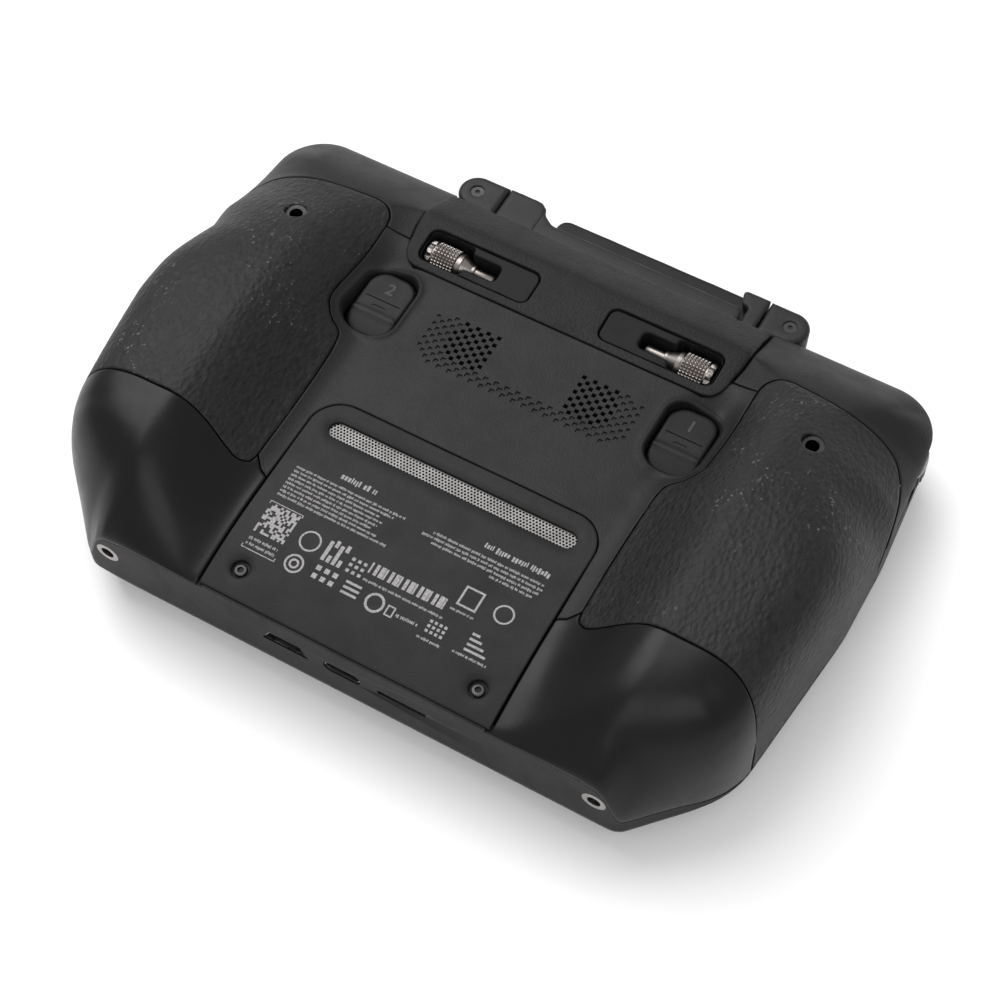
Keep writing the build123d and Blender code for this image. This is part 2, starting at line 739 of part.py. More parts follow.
with BuildPart() as usb_socket:
    with BuildSketch(Plane.XZ.offset(-bottom_y - sink_in)):
        with Locations((usb_x, port_z)):
            SlotOverall(*usb_shell)
            SlotOverall(*usb_mouth, mode=Mode.SUBTRACT)
    extrude(amount=-8.0)
    with BuildSketch(Plane.XZ.offset(-bottom_y - 7.3)):
        with Locations((usb_x, port_z)):
            SlotOverall(*usb_shell)
    extrude(amount=-1.0)
    with BuildSketch(Plane.XZ.offset(-bottom_y - 1.0)):
        with Locations((usb_x, port_z)):
            Rectangle(6.8, tongue_height)
    extrude(amount=-6.6)
save(usb_socket.part, "usb_socket")

with BuildPart() as hdmi_socket:
    with BuildSketch(Plane.XZ.offset(-bottom_y - sink_in)):
        with Locations((hdmi_x, port_z)):
            Trapezoid(*hdmi_shell, hdmi_slant)
            Trapezoid(*hdmi_mouth, hdmi_slant, mode=Mode.SUBTRACT)
    extrude(amount=-7.0)
    with BuildSketch(Plane.XZ.offset(-bottom_y - 6.3)):
        with Locations((hdmi_x, port_z)):
            Trapezoid(*hdmi_shell, hdmi_slant)
    extrude(amount=-1.0)
    with BuildSketch(Plane.XZ.offset(-bottom_y - 1.2)):
        with Locations((hdmi_x, port_z)):
            Rectangle(7.6, tongue_height)
    extrude(amount=-5.4)
save(hdmi_socket.part, "hdmi_socket")

with BuildPart() as card_reader:
    with BuildSketch(Plane.XZ.offset(-bottom_y - wall - 0.2)):
        with Locations((card_x, port_z)):
            Rectangle(14.0, 2.6)
            Rectangle(11.6, 1.0, mode=Mode.SUBTRACT)
    extrude(amount=-13.0)
save(card_reader.part, "card_reader")

# ---- control sticks: a two-axis gimbal on each side ----------------------------------------------

ring_outer = 9.0
ring_inner = 6.2
ring_half_height = 2.0
gimbal_pin_r = 1.2
gimbal_floor_z = gimbal_top_z - 1.4
dome_thickness = 1.2
dome_half_angle = 56
tan_dome = tan(radians(dome_half_angle))
cup_wall = 1.4
stub_r = 2.2
stub_tip_z = 0.6

for name, side in sides.items():
    pivot = (side * gimbal_x, gimbal_y, gimbal_z)

    # cup with two posts that carry the outer ring
    with BuildPart() as gimbal_frame:
        with BuildSketch(Plane.XY.offset(wing_front_z + 2.3)):
            with Locations(pivot[:2]):
                Circle(dome_r + gap + cup_wall)
                Circle(dome_r + gap, mode=Mode.SUBTRACT)
        extrude(amount=gimbal_floor_z - wing_front_z - 2.3)
        with BuildSketch(Plane.XY.offset(gimbal_floor_z)):
            with Locations(pivot[:2]):
                Circle(dome_r + gap + cup_wall)
        extrude(amount=gimbal_top_z - gimbal_floor_z)
        with Locations(*[(pivot[0] + s * 10.4, pivot[1], gimbal_floor_z) for s in (-1, 1)]):
            Box(
                1.8, 3.6, gimbal_floor_z - gimbal_z + 1.8,
                align=(Align.CENTER, Align.CENTER, Align.MAX),
            )
        with Locations(Location(pivot, (0, 90, 0))):
            Cylinder(gimbal_pin_r + running, 23.0, mode=Mode.SUBTRACT)
    save(gimbal_frame.part, "gimbal_frame_" + name)

    # outer ring: turns on two pins along X
    with BuildPart() as gimbal_ring:
        with BuildSketch(Plane.XY.offset(gimbal_z - ring_half_height)):
            with Locations(pivot[:2]):
                Circle(ring_outer)
                Circle(ring_inner, mode=Mode.SUBTRACT)
        extrude(amount=2 * ring_half_height)
        with Locations(*[Location((pivot[0] + s * 9.6, pivot[1], gimbal_z), (0, 90, 0)) for s in (-1, 1)]):
            Cylinder(gimbal_pin_r, 3.4)
        with Locations(Location(pivot, (90, 0, 0))):
            Cylinder(gimbal_pin_r + running, 24.0, mode=Mode.SUBTRACT)
    save(gimbal_ring.part, "gimbal_ring_" + name)

    # stick stub: hub on two pins along Y, threaded stub and the dome that closes the opening
    with BuildPart() as gimbal_stub:
        with Locations(pivot):
            Sphere(dome_r)
            Sphere(dome_r - dome_thickness, mode=Mode.SUBTRACT)
        with BuildSketch(Plane.XZ.offset(-gimbal_y)):
            with BuildLine():
                Polyline(
                    pivot[::2], (pivot[0] + 40 * tan_dome, gimbal_z - 40),
                    (pivot[0], gimbal_z - 40), close=True,
                )
            make_face()
        revolve(axis=Axis(pivot, (0, 0, 1)), mode=Mode.INTERSECT)
        with Locations(pivot):
            Sphere(4.0)
        with BuildSketch(Plane.XY.offset(stub_tip_z)):
            with Locations(pivot[:2]):
                Circle(stub_r)
        extrude(amount=gimbal_z - stub_tip_z)
        with Locations(Location(pivot, (90, 0, 0))):
            Cylinder(gimbal_pin_r, 2 * ring_outer - 0.6)
    save(gimbal_stub.part, "gimbal_stub_" + name)

    # thumb dial and its bright rim
    with BuildPart() as dial:
        with BuildSketch(Plane.XY.offset(dial_z)):
            with Locations((side * dial_x, dial_y)):
                Circle(dial_r)
                with PolarLocations(dial_r, 40):
                    Circle(0.35, mode=Mode.SUBTRACT)
                Circle(dial_axle_r + running, mode=Mode.SUBTRACT)
        extrude(amount=dial_height - rim_height)
    save(dial.part, "dial_" + name)

    with BuildPart() as dial_rim:
        with BuildSketch(Plane.XY.offset(dial_z + dial_height - rim_height)):
            with Locations((side * dial_x, dial_y)):
                Circle(dial_r)
                Circle(dial_r - rim_width, mode=Mode.SUBTRACT)
        extrude(amount=rim_height)
    save(dial_rim.part, "dial_rim_" + name)

# ---- buttons on the shoulders' top edge -------------------------------------------------------------

for name, side in (("record_button", -1), ("shutter_button", 1)):
    with BuildPart() as shoulder_key:
        with BuildSketch(Plane.XZ.offset(-shoulder_y + 4.0)):
            with Locations((side * shoulder_button_x, shoulder_button_z)):
                RectangleRounded(*shoulder_button, 1.8)
        extrude(amount=-4.8)
        with BuildSketch(Plane.XZ.offset(-shoulder_y + 5.0)):
            with Locations((side * shoulder_button_x, shoulder_button_z)):
                RectangleRounded(shoulder_button[0] + 2.4, shoulder_button[1] + 1.4, 1.8)
        extrude(amount=-1.2)
    save(shoulder_key.part, name)

# ---- buttons, switch and five-way control on the front ----------------------------------------------

key_top_z = wing_front_z - 0.9
key_foot_z = wing_front_z + 4.6
for name, (x, y) in front_buttons.items():
    with BuildPart() as key:
        with BuildSketch(Plane.XY.offset(key_top_z)):
            with Locations((x, y)):
                Circle(front_button_r)
        extrude(amount=key_foot_z - key_top_z)
        fillet(key.faces().sort_by(Axis.Z)[0].edges(), radius=0.5)
        with BuildSketch(Plane.XY.offset(key_foot_z - 1.2)):
            with Locations((x, y)):
                Circle(front_button_r + 0.9)
        extrude(amount=1.2)
    save(key.part, name)

with BuildPart() as mode_switch:
    with BuildSketch(Plane.XY.offset(key_top_z)):
        with Locations((0, mode_switch_y)):
            SlotOverall(mode_slot[0] - 2 * mode_switch_travel - 2 * gap, mode_slot[1] - 2 * gap)
    extrude(amount=4.0)
    with BuildSketch(Plane.XY.offset(wing_front_z + 2.5)):
        with Locations((0, mode_switch_y)):
            Rectangle(16.0, 7.0)
    extrude(amount=1.0)
save(mode_switch.part, "mode_switch")

way_x, way_y, way_z = five_way
cross_pin_r = 0.6
plunger_r = 1.6
cap_height = 2.4
with BuildPart() as five_way_yoke:
    with BuildSketch(Plane.XY.offset(way_z - 0.9)):
        with Locations((way_x, way_y)):
            Circle(7.4)
            Circle(5.8, mode=Mode.SUBTRACT)
    extrude(amount=1.8)
    with Locations(*[Location((way_x + s * 8.4, way_y, way_z), (0, 90, 0)) for s in (-1, 1)]):
        Cylinder(yoke_pin_r, 3.2)
    with Locations(Location(five_way, (90, 0, 0))):
        Cylinder(cross_pin_r + running, 20.0, mode=Mode.SUBTRACT)
save(five_way_yoke.part, "five_way_yoke")

with BuildPart() as five_way_cross:
    with BuildSketch(Plane.XY.offset(way_z - 0.9)):
        with Locations((way_x, way_y)):
            Circle(5.0)
    extrude(amount=1.8)
    with Locations(Location(five_way, (90, 0, 0))):
        Cylinder(cross_pin_r, 14.0)
    with BuildSketch(Plane.XY.offset(way_z - 2)):
        with Locations((way_x, way_y)):
            Circle(plunger_r + running)
    extrude(amount=4, mode=Mode.SUBTRACT)
save(five_way_cross.part, "five_way_cross")

with BuildPart() as five_way_cap:
    with BuildSketch(Plane.XY.offset(key_top_z)):
        with Locations((way_x, way_y)):
            Circle(five_way_cap_r)
    extrude(amount=cap_height)
    fillet(five_way_cap.faces().sort_by(Axis.Z)[0].edges(), radius=0.6)
    with BuildSketch(Plane.XY.offset(key_top_z + cap_height)):
        with Locations((way_x, way_y)):
            Circle(plunger_r)
    extrude(amount=way_z + 0.9 - key_top_z - cap_height)
save(five_way_cap.part, "five_way_cap")

# ---- folding antennas ------------------------------------------------------------------------------------

antenna_r = 5.1
antenna_front_z = 8.2
antenna_back_z = 20.6
layer_z = 14.2             # the left blade lies behind this level, the right one in front of it
hinge_pin_r = 2.0
seam_reach = 7.1           # from the axis to the joint of base and blade
left_root_x = -21.8        # the left blade is full width up to here
left_tip_x = 33.8
right_tip_x = -19.8

with BuildPart() as antenna_screws:
    for axis_x in antenna_x.values():
        with BuildSketch(Plane.XY.offset(antenna_back_z - 1.6)):
            with Locations((axis_x, antenna_y)):
                Circle(1.7)
                RegularPolygon(0.7, 6, mode=Mode.SUBTRACT)
        extrude(amount=1.2)
save(antenna_screws.part, "antenna_screws")

for name, axis_x in antenna_x.items():
    toward_middle = -1 if axis_x > 0 else 1
    # bracket on the body's top wall, with the hinge pin
    with BuildPart() as antenna_mount:
        with BuildSketch(Plane.XY.offset(wing_front_z + 0.4)):
            with Locations((axis_x, antenna_y)):
                Circle(antenna_r)
            with Locations((axis_x, (bay_wall_y + antenna_y) / 2)):
                Rectangle(2 * antenna_r, antenna_y - bay_wall_y)
        extrude(amount=antenna_front_z - gap - wing_front_z - 0.4)
        with BuildSketch(Plane.XY.offset(wing_front_z + 0.4)):
            with Locations((axis_x, bay_wall_y + 0.8)):
                Rectangle(2 * antenna_r, 1.6)
        extrude(amount=12.0)
        with BuildSketch(Plane.XY.offset(wing_front_z + 0.4)):
            with Locations((axis_x, antenna_y)):
                Circle(hinge_pin_r)
        extrude(amount=antenna_back_z - 1.6 - wing_front_z - 0.4)
    save(antenna_mount.part, "antenna_mount_" + name)

    # base that turns on the pin
    with BuildPart() as antenna_base:
        with BuildSketch(Plane.XY.offset(antenna_front_z)):
            with Locations((axis_x, antenna_y)):
                Circle(antenna_r)
            with Locations((axis_x + toward_middle * seam_reach / 2, antenna_y)):
                Rectangle(seam_reach, 2 * antenna_r)
            with Locations((axis_x, antenna_y)):
                Circle(hinge_pin_r + running, mode=Mode.SUBTRACT)
        extrude(amount=antenna_back_z - antenna_front_z)
    save(antenna_base.part, "antenna_base_" + name)

antenna_low_y = antenna_y - antenna_r
antenna_high_y = antenna_y + antenna_r
left_seam_x = antenna_x["left"] + seam_reach
right_seam_x = antenna_x["right"] - seam_reach

with BuildPart() as antenna_blade_left:
    with BuildSketch(Plane.XY.offset(antenna_front_z)):
        with BuildLine():
            Polyline(
                (left_seam_x, antenna_low_y), (left_root_x, antenna_low_y), (left_root_x, antenna_high_y),
                (left_seam_x, antenna_high_y), close=True,
            )
        make_face()
    extrude(amount=antenna_back_z - antenna_front_z)
    with BuildSketch(Plane.XY.offset(layer_z + gap)):
        with BuildLine():
            FilletPolyline(
                (left_root_x, antenna_low_y), (left_tip_x, antenna_low_y + 0.4),
                (left_tip_x, antenna_high_y - 3.2), (left_root_x + 3.0, antenna_high_y - 2.2),
                (left_root_x, antenna_high_y),
                radius=[0, 2.6, 2.6, 4.0, 0], close=True,
            )
        make_face()
    extrude(amount=antenna_back_z - 0.6 - layer_z - gap)
save(antenna_blade_left.part, "antenna_blade_left")

with BuildPart() as antenna_blade_right:
    with BuildSketch(Plane.XY.offset(antenna_front_z)):
        with Locations(((right_seam_x + left_tip_x + 1.4) / 2, antenna_y)):
            Rectangle(right_seam_x - left_tip_x - 1.4, 2 * antenna_r)
    extrude(amount=antenna_back_z - antenna_front_z)
    with BuildSketch(Plane.XY.offset(antenna_front_z)):
        with BuildLine():
            FilletPolyline(
                (left_tip_x + 1.4, antenna_low_y), (right_tip_x, antenna_low_y + 0.4),
                (right_tip_x, antenna_high_y), (left_tip_x + 1.4, antenna_high_y),
                radius=[0, 2.6, 4.0, 0], close=True,
            )
        make_face()
    extrude(amount=layer_z - antenna_front_z)
save(antenna_blade_right.part, "antenna_blade_right")
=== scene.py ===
import json
import math
import random

import bmesh
import bpy
import numpy as np
from mathutils import Matrix, Vector
from mathutils.geometry import delaunay_2d_cdt
from mathutils.kdtree import KDTree


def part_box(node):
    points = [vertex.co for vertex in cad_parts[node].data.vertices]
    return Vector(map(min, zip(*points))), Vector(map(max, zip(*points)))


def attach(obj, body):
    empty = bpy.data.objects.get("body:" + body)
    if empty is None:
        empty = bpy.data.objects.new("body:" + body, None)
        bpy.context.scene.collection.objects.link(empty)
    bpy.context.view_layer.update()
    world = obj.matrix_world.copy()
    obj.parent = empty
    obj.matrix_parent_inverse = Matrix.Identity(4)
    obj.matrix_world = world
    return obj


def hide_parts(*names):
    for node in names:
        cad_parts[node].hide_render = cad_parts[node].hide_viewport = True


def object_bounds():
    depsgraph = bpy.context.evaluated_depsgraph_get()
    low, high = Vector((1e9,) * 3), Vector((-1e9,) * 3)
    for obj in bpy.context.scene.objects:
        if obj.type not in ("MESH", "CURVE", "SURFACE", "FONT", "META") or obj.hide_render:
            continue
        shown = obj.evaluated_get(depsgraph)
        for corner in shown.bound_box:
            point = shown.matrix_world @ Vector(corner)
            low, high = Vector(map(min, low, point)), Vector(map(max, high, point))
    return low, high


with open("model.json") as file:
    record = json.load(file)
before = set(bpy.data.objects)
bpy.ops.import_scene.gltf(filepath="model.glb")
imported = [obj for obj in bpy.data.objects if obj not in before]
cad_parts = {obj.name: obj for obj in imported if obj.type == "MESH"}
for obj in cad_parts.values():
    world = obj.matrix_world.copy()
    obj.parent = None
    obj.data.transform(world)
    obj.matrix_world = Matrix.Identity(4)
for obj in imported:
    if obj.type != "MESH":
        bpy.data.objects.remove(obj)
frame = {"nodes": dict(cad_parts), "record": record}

cad_low, cad_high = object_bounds()
MM = 0.001               # the lengths below are in millimetres; the meshes are in metres
nodes = frame["nodes"]
SIDES = {"left": -1, "right": 1}

# ---- places read from the frame ----


def box_mm(node):
    """A CAD node's lowest and highest corners in millimetres."""
    low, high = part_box(node)
    return low / MM, high / MM


frame_low, frame_high = box_mm("front_frame")
label_high = box_mm("label_plate")[1]
HALF_WIDTH = frame_high.x
BOTTOM_Y = frame_low.y
SHOULDER_Y = box_mm("shoulder_right")[1].y
BACK_Z = label_high.z
SEAM_Z = box_mm("palm_swell_right")[0].z
CREST_Z = box_mm("grip_right")[1].z - 0.15      # the skins stay just under the CAD grips' tops

# ---- mesh helpers ----


def mesh_piece(name, verts_mm, faces, body, slot, replaces=(), material=None, sharp=50.0):
    """A mesh object from points in millimetres, riding on a body."""
    mesh = bpy.data.meshes.new(name)
    mesh.from_pydata([Vector(v) * MM for v in verts_mm], [], faces)
    mesh.validate()
    ride_piece(name, mesh, body, slot, replaces, material, sharp)


def ride_piece(name, mesh, body, slot, replaces=(), material=None, sharp=50.0):
    """A mesh put into the scene as a piece, shaded smooth up to an angle.
    Its material is its slot's, unless another is named."""
    mesh.polygons.foreach_set("use_smooth", [True] * len(mesh.polygons))
    mesh.set_sharp_from_angle(angle=math.radians(sharp))
    mesh.materials.append(MATERIALS[material or slot])
    piece = bpy.data.objects.new(name, mesh)
    bpy.context.scene.collection.objects.link(piece)
    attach(piece, body)
    if replaces:
        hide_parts(*replaces)


def tube_faces(rows, around, flip):
    """Quads between neighbouring rings of points, stored ring by ring."""
    faces = []
    for r in range(rows - 1):
        for c in range(around):
            n = (c + 1) % around
            quad = [r * around + c, r * around + n, (r + 1) * around + n, (r + 1) * around + c]
            faces.append(quad[::-1] if flip else quad)
    return faces


def rounded(points, radii, step=1.0):
    """A closed outline with each corner rounded to its own radius, as a list of points."""
    out = []
    count = len(points)
    for k in range(count):
        before, here, after = (np.array(points[(k + s) % count], float) for s in (-1, 0, 1))
        radius = radii[k] if isinstance(radii, (list, tuple)) else radii
        u, v = before - here, after - here
        u, v = u / np.linalg.norm(u), v / np.linalg.norm(v)
        half = math.acos(np.clip(u @ v, -1, 1)) / 2
        if radius <= 0 or abs(half - math.pi / 2) < 1e-4:
            out.append(tuple(here))
            continue
        reach = radius / math.tan(half)
        centre = here + (u + v) / np.linalg.norm(u + v) * radius / math.sin(half)
        start, end = here + u * reach - centre, here + v * reach - centre
        turn = math.atan2(start[0] * end[1] - start[1] * end[0], start @ end)
        steps = max(2, int(abs(turn) * radius / step) + 1)
        for s in range(steps + 1):
            a = turn * s / steps
            c, w = math.cos(a), math.sin(a)
            out.append((centre[0] + start[0] * c - start[1] * w, centre[1] + start[0] * w + start[1] * c))
    return out


def resampled(line, count, closed=False):
    """Evenly spaced points along a polyline."""
    pts = np.array(line, float)
    if closed:
        pts = np.vstack([pts, pts[:1]])
    run = np.concatenate([[0], np.cumsum(np.linalg.norm(np.diff(pts, axis=0), axis=1))])
    where = np.linspace(0, run[-1], count + 1)[:-1] if closed else np.linspace(0, run[-1], count)
    return np.stack([np.interp(where, run, pts[:, k]) for k in range(pts.shape[1])], axis=1)


def smooth_line(points, count):
    """A smooth open curve through the points (centripetal Catmull-Rom), evenly resampled."""
    pts = np.array(points, float)
    ends = [2 * pts[0] - pts[1], *pts, 2 * pts[-1] - pts[-2]]
    out = []
    for k in range(1, len(ends) - 2):
        p0, p1, p2, p3 = ends[k - 1], ends[k], ends[k + 1], ends[k + 2]
        t0 = 0.0
        t1 = t0 + np.linalg.norm(p1 - p0) ** 0.5
        t2 = t1 + np.linalg.norm(p2 - p1) ** 0.5
        t3 = t2 + np.linalg.norm(p3 - p2) ** 0.5
        for t in np.linspace(t1, t2, 16, endpoint=(k == len(ends) - 3)):
            a1 = (t1 - t) / (t1 - t0) * p0 + (t - t0) / (t1 - t0) * p1
            a2 = (t2 - t) / (t2 - t1) * p1 + (t - t1) / (t2 - t1) * p2
            a3 = (t3 - t) / (t3 - t2) * p2 + (t - t2) / (t3 - t2) * p3
            b1 = (t2 - t) / (t2 - t0) * a1 + (t - t0) / (t2 - t0) * a2
            b2 = (t3 - t) / (t3 - t1) * a2 + (t - t1) / (t3 - t1) * a3
            out.append((t2 - t) / (t2 - t1) * b1 + (t - t1) / (t2 - t1) * b2)
    return resampled(out, count)


def smoothstep(t):
    t = np.clip(t, 0, 1)
    return t * t * (3 - 2 * t)


# ---- the back's surface ----

half_outline = [         # the right half in plan, from the rail's corner round to the shoulder
    (68.6, BOTTOM_Y), (86.7, -49.3), (HALF_WIDTH, -3.0), (HALF_WIDTH, 18.0), (HALF_WIDTH - 3.2, SHOULDER_Y),
]
outline = half_outline + [(-x, y) for x, y in reversed(half_outline)]
outline_line = resampled(rounded(outline, [5, 24, 60, 60, 13, 13, 60, 60, 24, 5], 0.8), 1300, closed=True)


def distance_to(line, x, y, closed=False):
    """Distance from plan points to a polyline."""
    p = np.stack([np.ravel(x), np.ravel(y)], axis=1)
    a = np.array(line, float)
    b = np.roll(a, -1, axis=0)
    if not closed:
        a, b = a[:-1], b[:-1]
    best = np.full(len(p), 1e9)
    for start, end in zip(a, b):
        along = end - start
        length2 = along @ along
        if length2 < 1e-12:
            continue
        t = np.clip(((p - start) @ along) / length2, 0, 1)
        best = np.minimum(best, np.hypot(*(p - (start + t[:, None] * along)).T))
    return best.reshape(np.shape(x))


crest_line = np.array([
    (-76, 30.5), (-70, 34.2), (-64, 38.2), (-58, 41.6), (-50, 44.3), (-42, 45.8), (-32, 46.8),
    (-20, CREST_Z), (-6, CREST_Z), (6, 46.2), (16, 43.6), (26, 40.0), (34, 37.0), (42, 34.8), (50, 33.0),
    (60, 31.4),
])


def crest_height(y):
    """The grips' highest line as a function of y, smoothed."""
    return sum(np.interp(y + shift, crest_line[:, 0], crest_line[:, 1]) for shift in (-6, -3, 0, 3, 6)) / 5


BELT_Z = 11.2            # where the wings meet the front frame along the sides
CORNER_Z = 15.6          # and at the lower corners
rail_top = np.array([
    (0, 28.4), (46, 28.4), (58, 28.2), (62.6, 27.2), (65.2, 25.0), (67.2, 20.5), (68.8, 16.0),
])


def slanted_walls(x, y):
    """Distances in from the slanting stretches of the outline: the lower corner first, then the sides."""
    ax = np.abs(x)
    gaps = []
    for (x0, y0), (x1, y1) in zip(half_outline[:-1], half_outline[1:]):
        length = math.hypot(x1 - x0, y1 - y0)
        gaps.append(((y1 - y0) * (x0 - ax) - (x1 - x0) * (y0 - y)) / length)
    return gaps


def seam_height(x, y):
    """Height of the joint with the front frame: high along the rail, low round the sides."""
    rail = np.interp(np.abs(x), rail_top[:, 0], rail_top[:, 1])
    corner = CORNER_Z + (BELT_Z - CORNER_Z) * smoothstep((y + 64.0) / 24.0)
    side = corner + (SEAM_Z - BELT_Z) * smoothstep((y - 12.0) / 12.0)
    on_rail = smoothstep(0.5 + (slanted_walls(x, y)[0] - (y - BOTTOM_Y)) / 8.0)
    return rail * on_rail + side * (1 - on_rail)


SOFT = 3.0               # how widely the roll-offs of two neighbouring walls blend


def soft_distance(x, y):
    """Distance in from the plan outline, smoothed where two walls are equally near."""
    corner, *sides = slanted_walls(x, y)
    walls = np.sort([y - BOTTOM_Y, SHOULDER_Y - y, corner, np.minimum.reduce(sides)], axis=0)
    exact = distance_to(outline_line, x, y, True)
    return exact - SOFT * np.log1p(np.exp((walls[0] - walls[1]) / SOFT)) * exact / (exact + 2 * SOFT)


RAIL_FALL, RAIL_FALL_Y = 3.15, -42.0
WING_FOOT_X, WING_TOP_X = 37.2, 63.0
GULLY_X, GULLY_WIDTH, GULLY_DEPTH = 44.5, 6.0, 2.6      # the hollow between the middle and the grips
LABEL_ROLL, WING_ROLL, TOP_ROLL = 2.0, 22.0, 19.0       # widths of the roll-off towards the walls
roundness = np.array([   # how squarely the wings roll off, along y
    (-68, 2.0), (-60, 2.4), (-48, 4.0), (-14, 4.2), (4, 3.0), (22, 2.0), (40, 1.35), (52, 1.25),
])


def panel_height(y):
    """The middle panel is flat, and falls a little towards the rail."""
    return BACK_Z - RAIL_FALL * np.clip((RAIL_FALL_Y - y) / (RAIL_FALL_Y - BOTTOM_Y - 0.1), 0, 1) ** 1.9


def back_height(x, y):
    """Height of the controller's back at a plan position."""
    x, y = np.asarray(x, float), np.asarray(y, float)
    ax = np.abs(x)
    slope_start = WING_FOOT_X + 6.0 * smoothstep(y / 25)
    bulge = smoothstep((ax - slope_start) / (WING_TOP_X - slope_start))
    gully = GULLY_DEPTH * np.exp(-(((ax - GULLY_X) / GULLY_WIDTH) ** 2))
    gully *= smoothstep((y + 2) / 12) * (1 - smoothstep((y - 24) / 10)) * smoothstep((ax - 33.0) / 6.0)
    middle = panel_height(y) - gully
    top = middle + (crest_height(y) - middle) * bulge
    bottom = seam_height(x, y)
    side_roll = LABEL_ROLL + (WING_ROLL + 4.0 * smoothstep((y + 8) / 24)) * smoothstep((ax - 37.0) / 26.0)
    near_top = smoothstep((y - 30) / 22)
    roll = side_roll * (1 - near_top) + TOP_ROLL * near_top
    t = np.clip(soft_distance(x, y) / roll, 0, 1)
    power = np.interp(y, roundness[:, 0], roundness[:, 1])
    return bottom + (top - bottom) * (1 - (1 - t) ** power) ** (1 / power)


# ---- shells drawn in plan ----

SEAM_GAP = 0.14
LIP = 0.45               # the usual rounding of a shell's edge, which its rings of points follow
CLEAR = 1.4              # how far the even grid of points keeps from an edge


def outline_between(start, end):
    """The stretch of the plan outline from one point to another, going anticlockwise."""
    k0 = int(np.argmin(np.hypot(*(outline_line - start).T)))
    k1 = int(np.argmin(np.hypot(*(outline_line - end).T)))
    if k1 < k0:
        k1 += len(outline_line)
    return [tuple(outline_line[k % len(outline_line)]) for k in range(k0, k1 + 1)]


def inside(line, x, y):
    """Whether plan points lie within a closed polyline."""
    x, y = np.ravel(x), np.ravel(y)
    hits = np.zeros(len(x), bool)
    pts = np.array(line, float)
    for (x0, y0), (x1, y1) in zip(pts, np.roll(pts, -1, axis=0)):
        if y0 == y1:
            continue
        crossing = (y0 > y) != (y1 > y)
        hits ^= crossing & (x < (x1 - x0) * (y - y0) / (y1 - y0) + x0)
    return hits


def closed_line(points, spacing):
    """A closed polyline resampled evenly, anticlockwise."""
    pts = np.array(points, float)
    area = np.sum(pts[:, 0] * np.roll(pts[:, 1], -1) - np.roll(pts[:, 0], -1) * pts[:, 1])
    if area < 0:
        pts = pts[::-1]
    length = np.hypot(*np.diff(np.vstack([pts, pts[:1]]), axis=0).T).sum()
    return resampled(pts, max(4, 4 * round(length / spacing / 4)), closed=True)


def offset_ring(line, amount):
    """The points of a closed anticlockwise line, moved inwards."""
    tangent = np.roll(line, -1, axis=0) - np.roll(line, 1, axis=0)
    tangent /= np.maximum(np.hypot(*tangent.T), 1e-9)[:, None]
    return line + np.stack([-tangent[:, 1], tangent[:, 0]], axis=1) * amount


def rounded_box(cx, cy, width, height, radius):
    """A closed rounded rectangle in plan."""
    corners = [(cx - width / 2, cy - height / 2), (cx + width / 2, cy - height / 2),
               (cx + width / 2, cy + height / 2), (cx - width / 2, cy + height / 2)]
    return rounded(corners, radius, 0.4)


def near_box(points, line, margin=0.0):
    """Which points lie within a line's bounding box, as indices."""
    low, high = line.min(axis=0) - margin, line.max(axis=0) + margin
    return np.flatnonzero(((points > low) & (points < high)).all(axis=1))


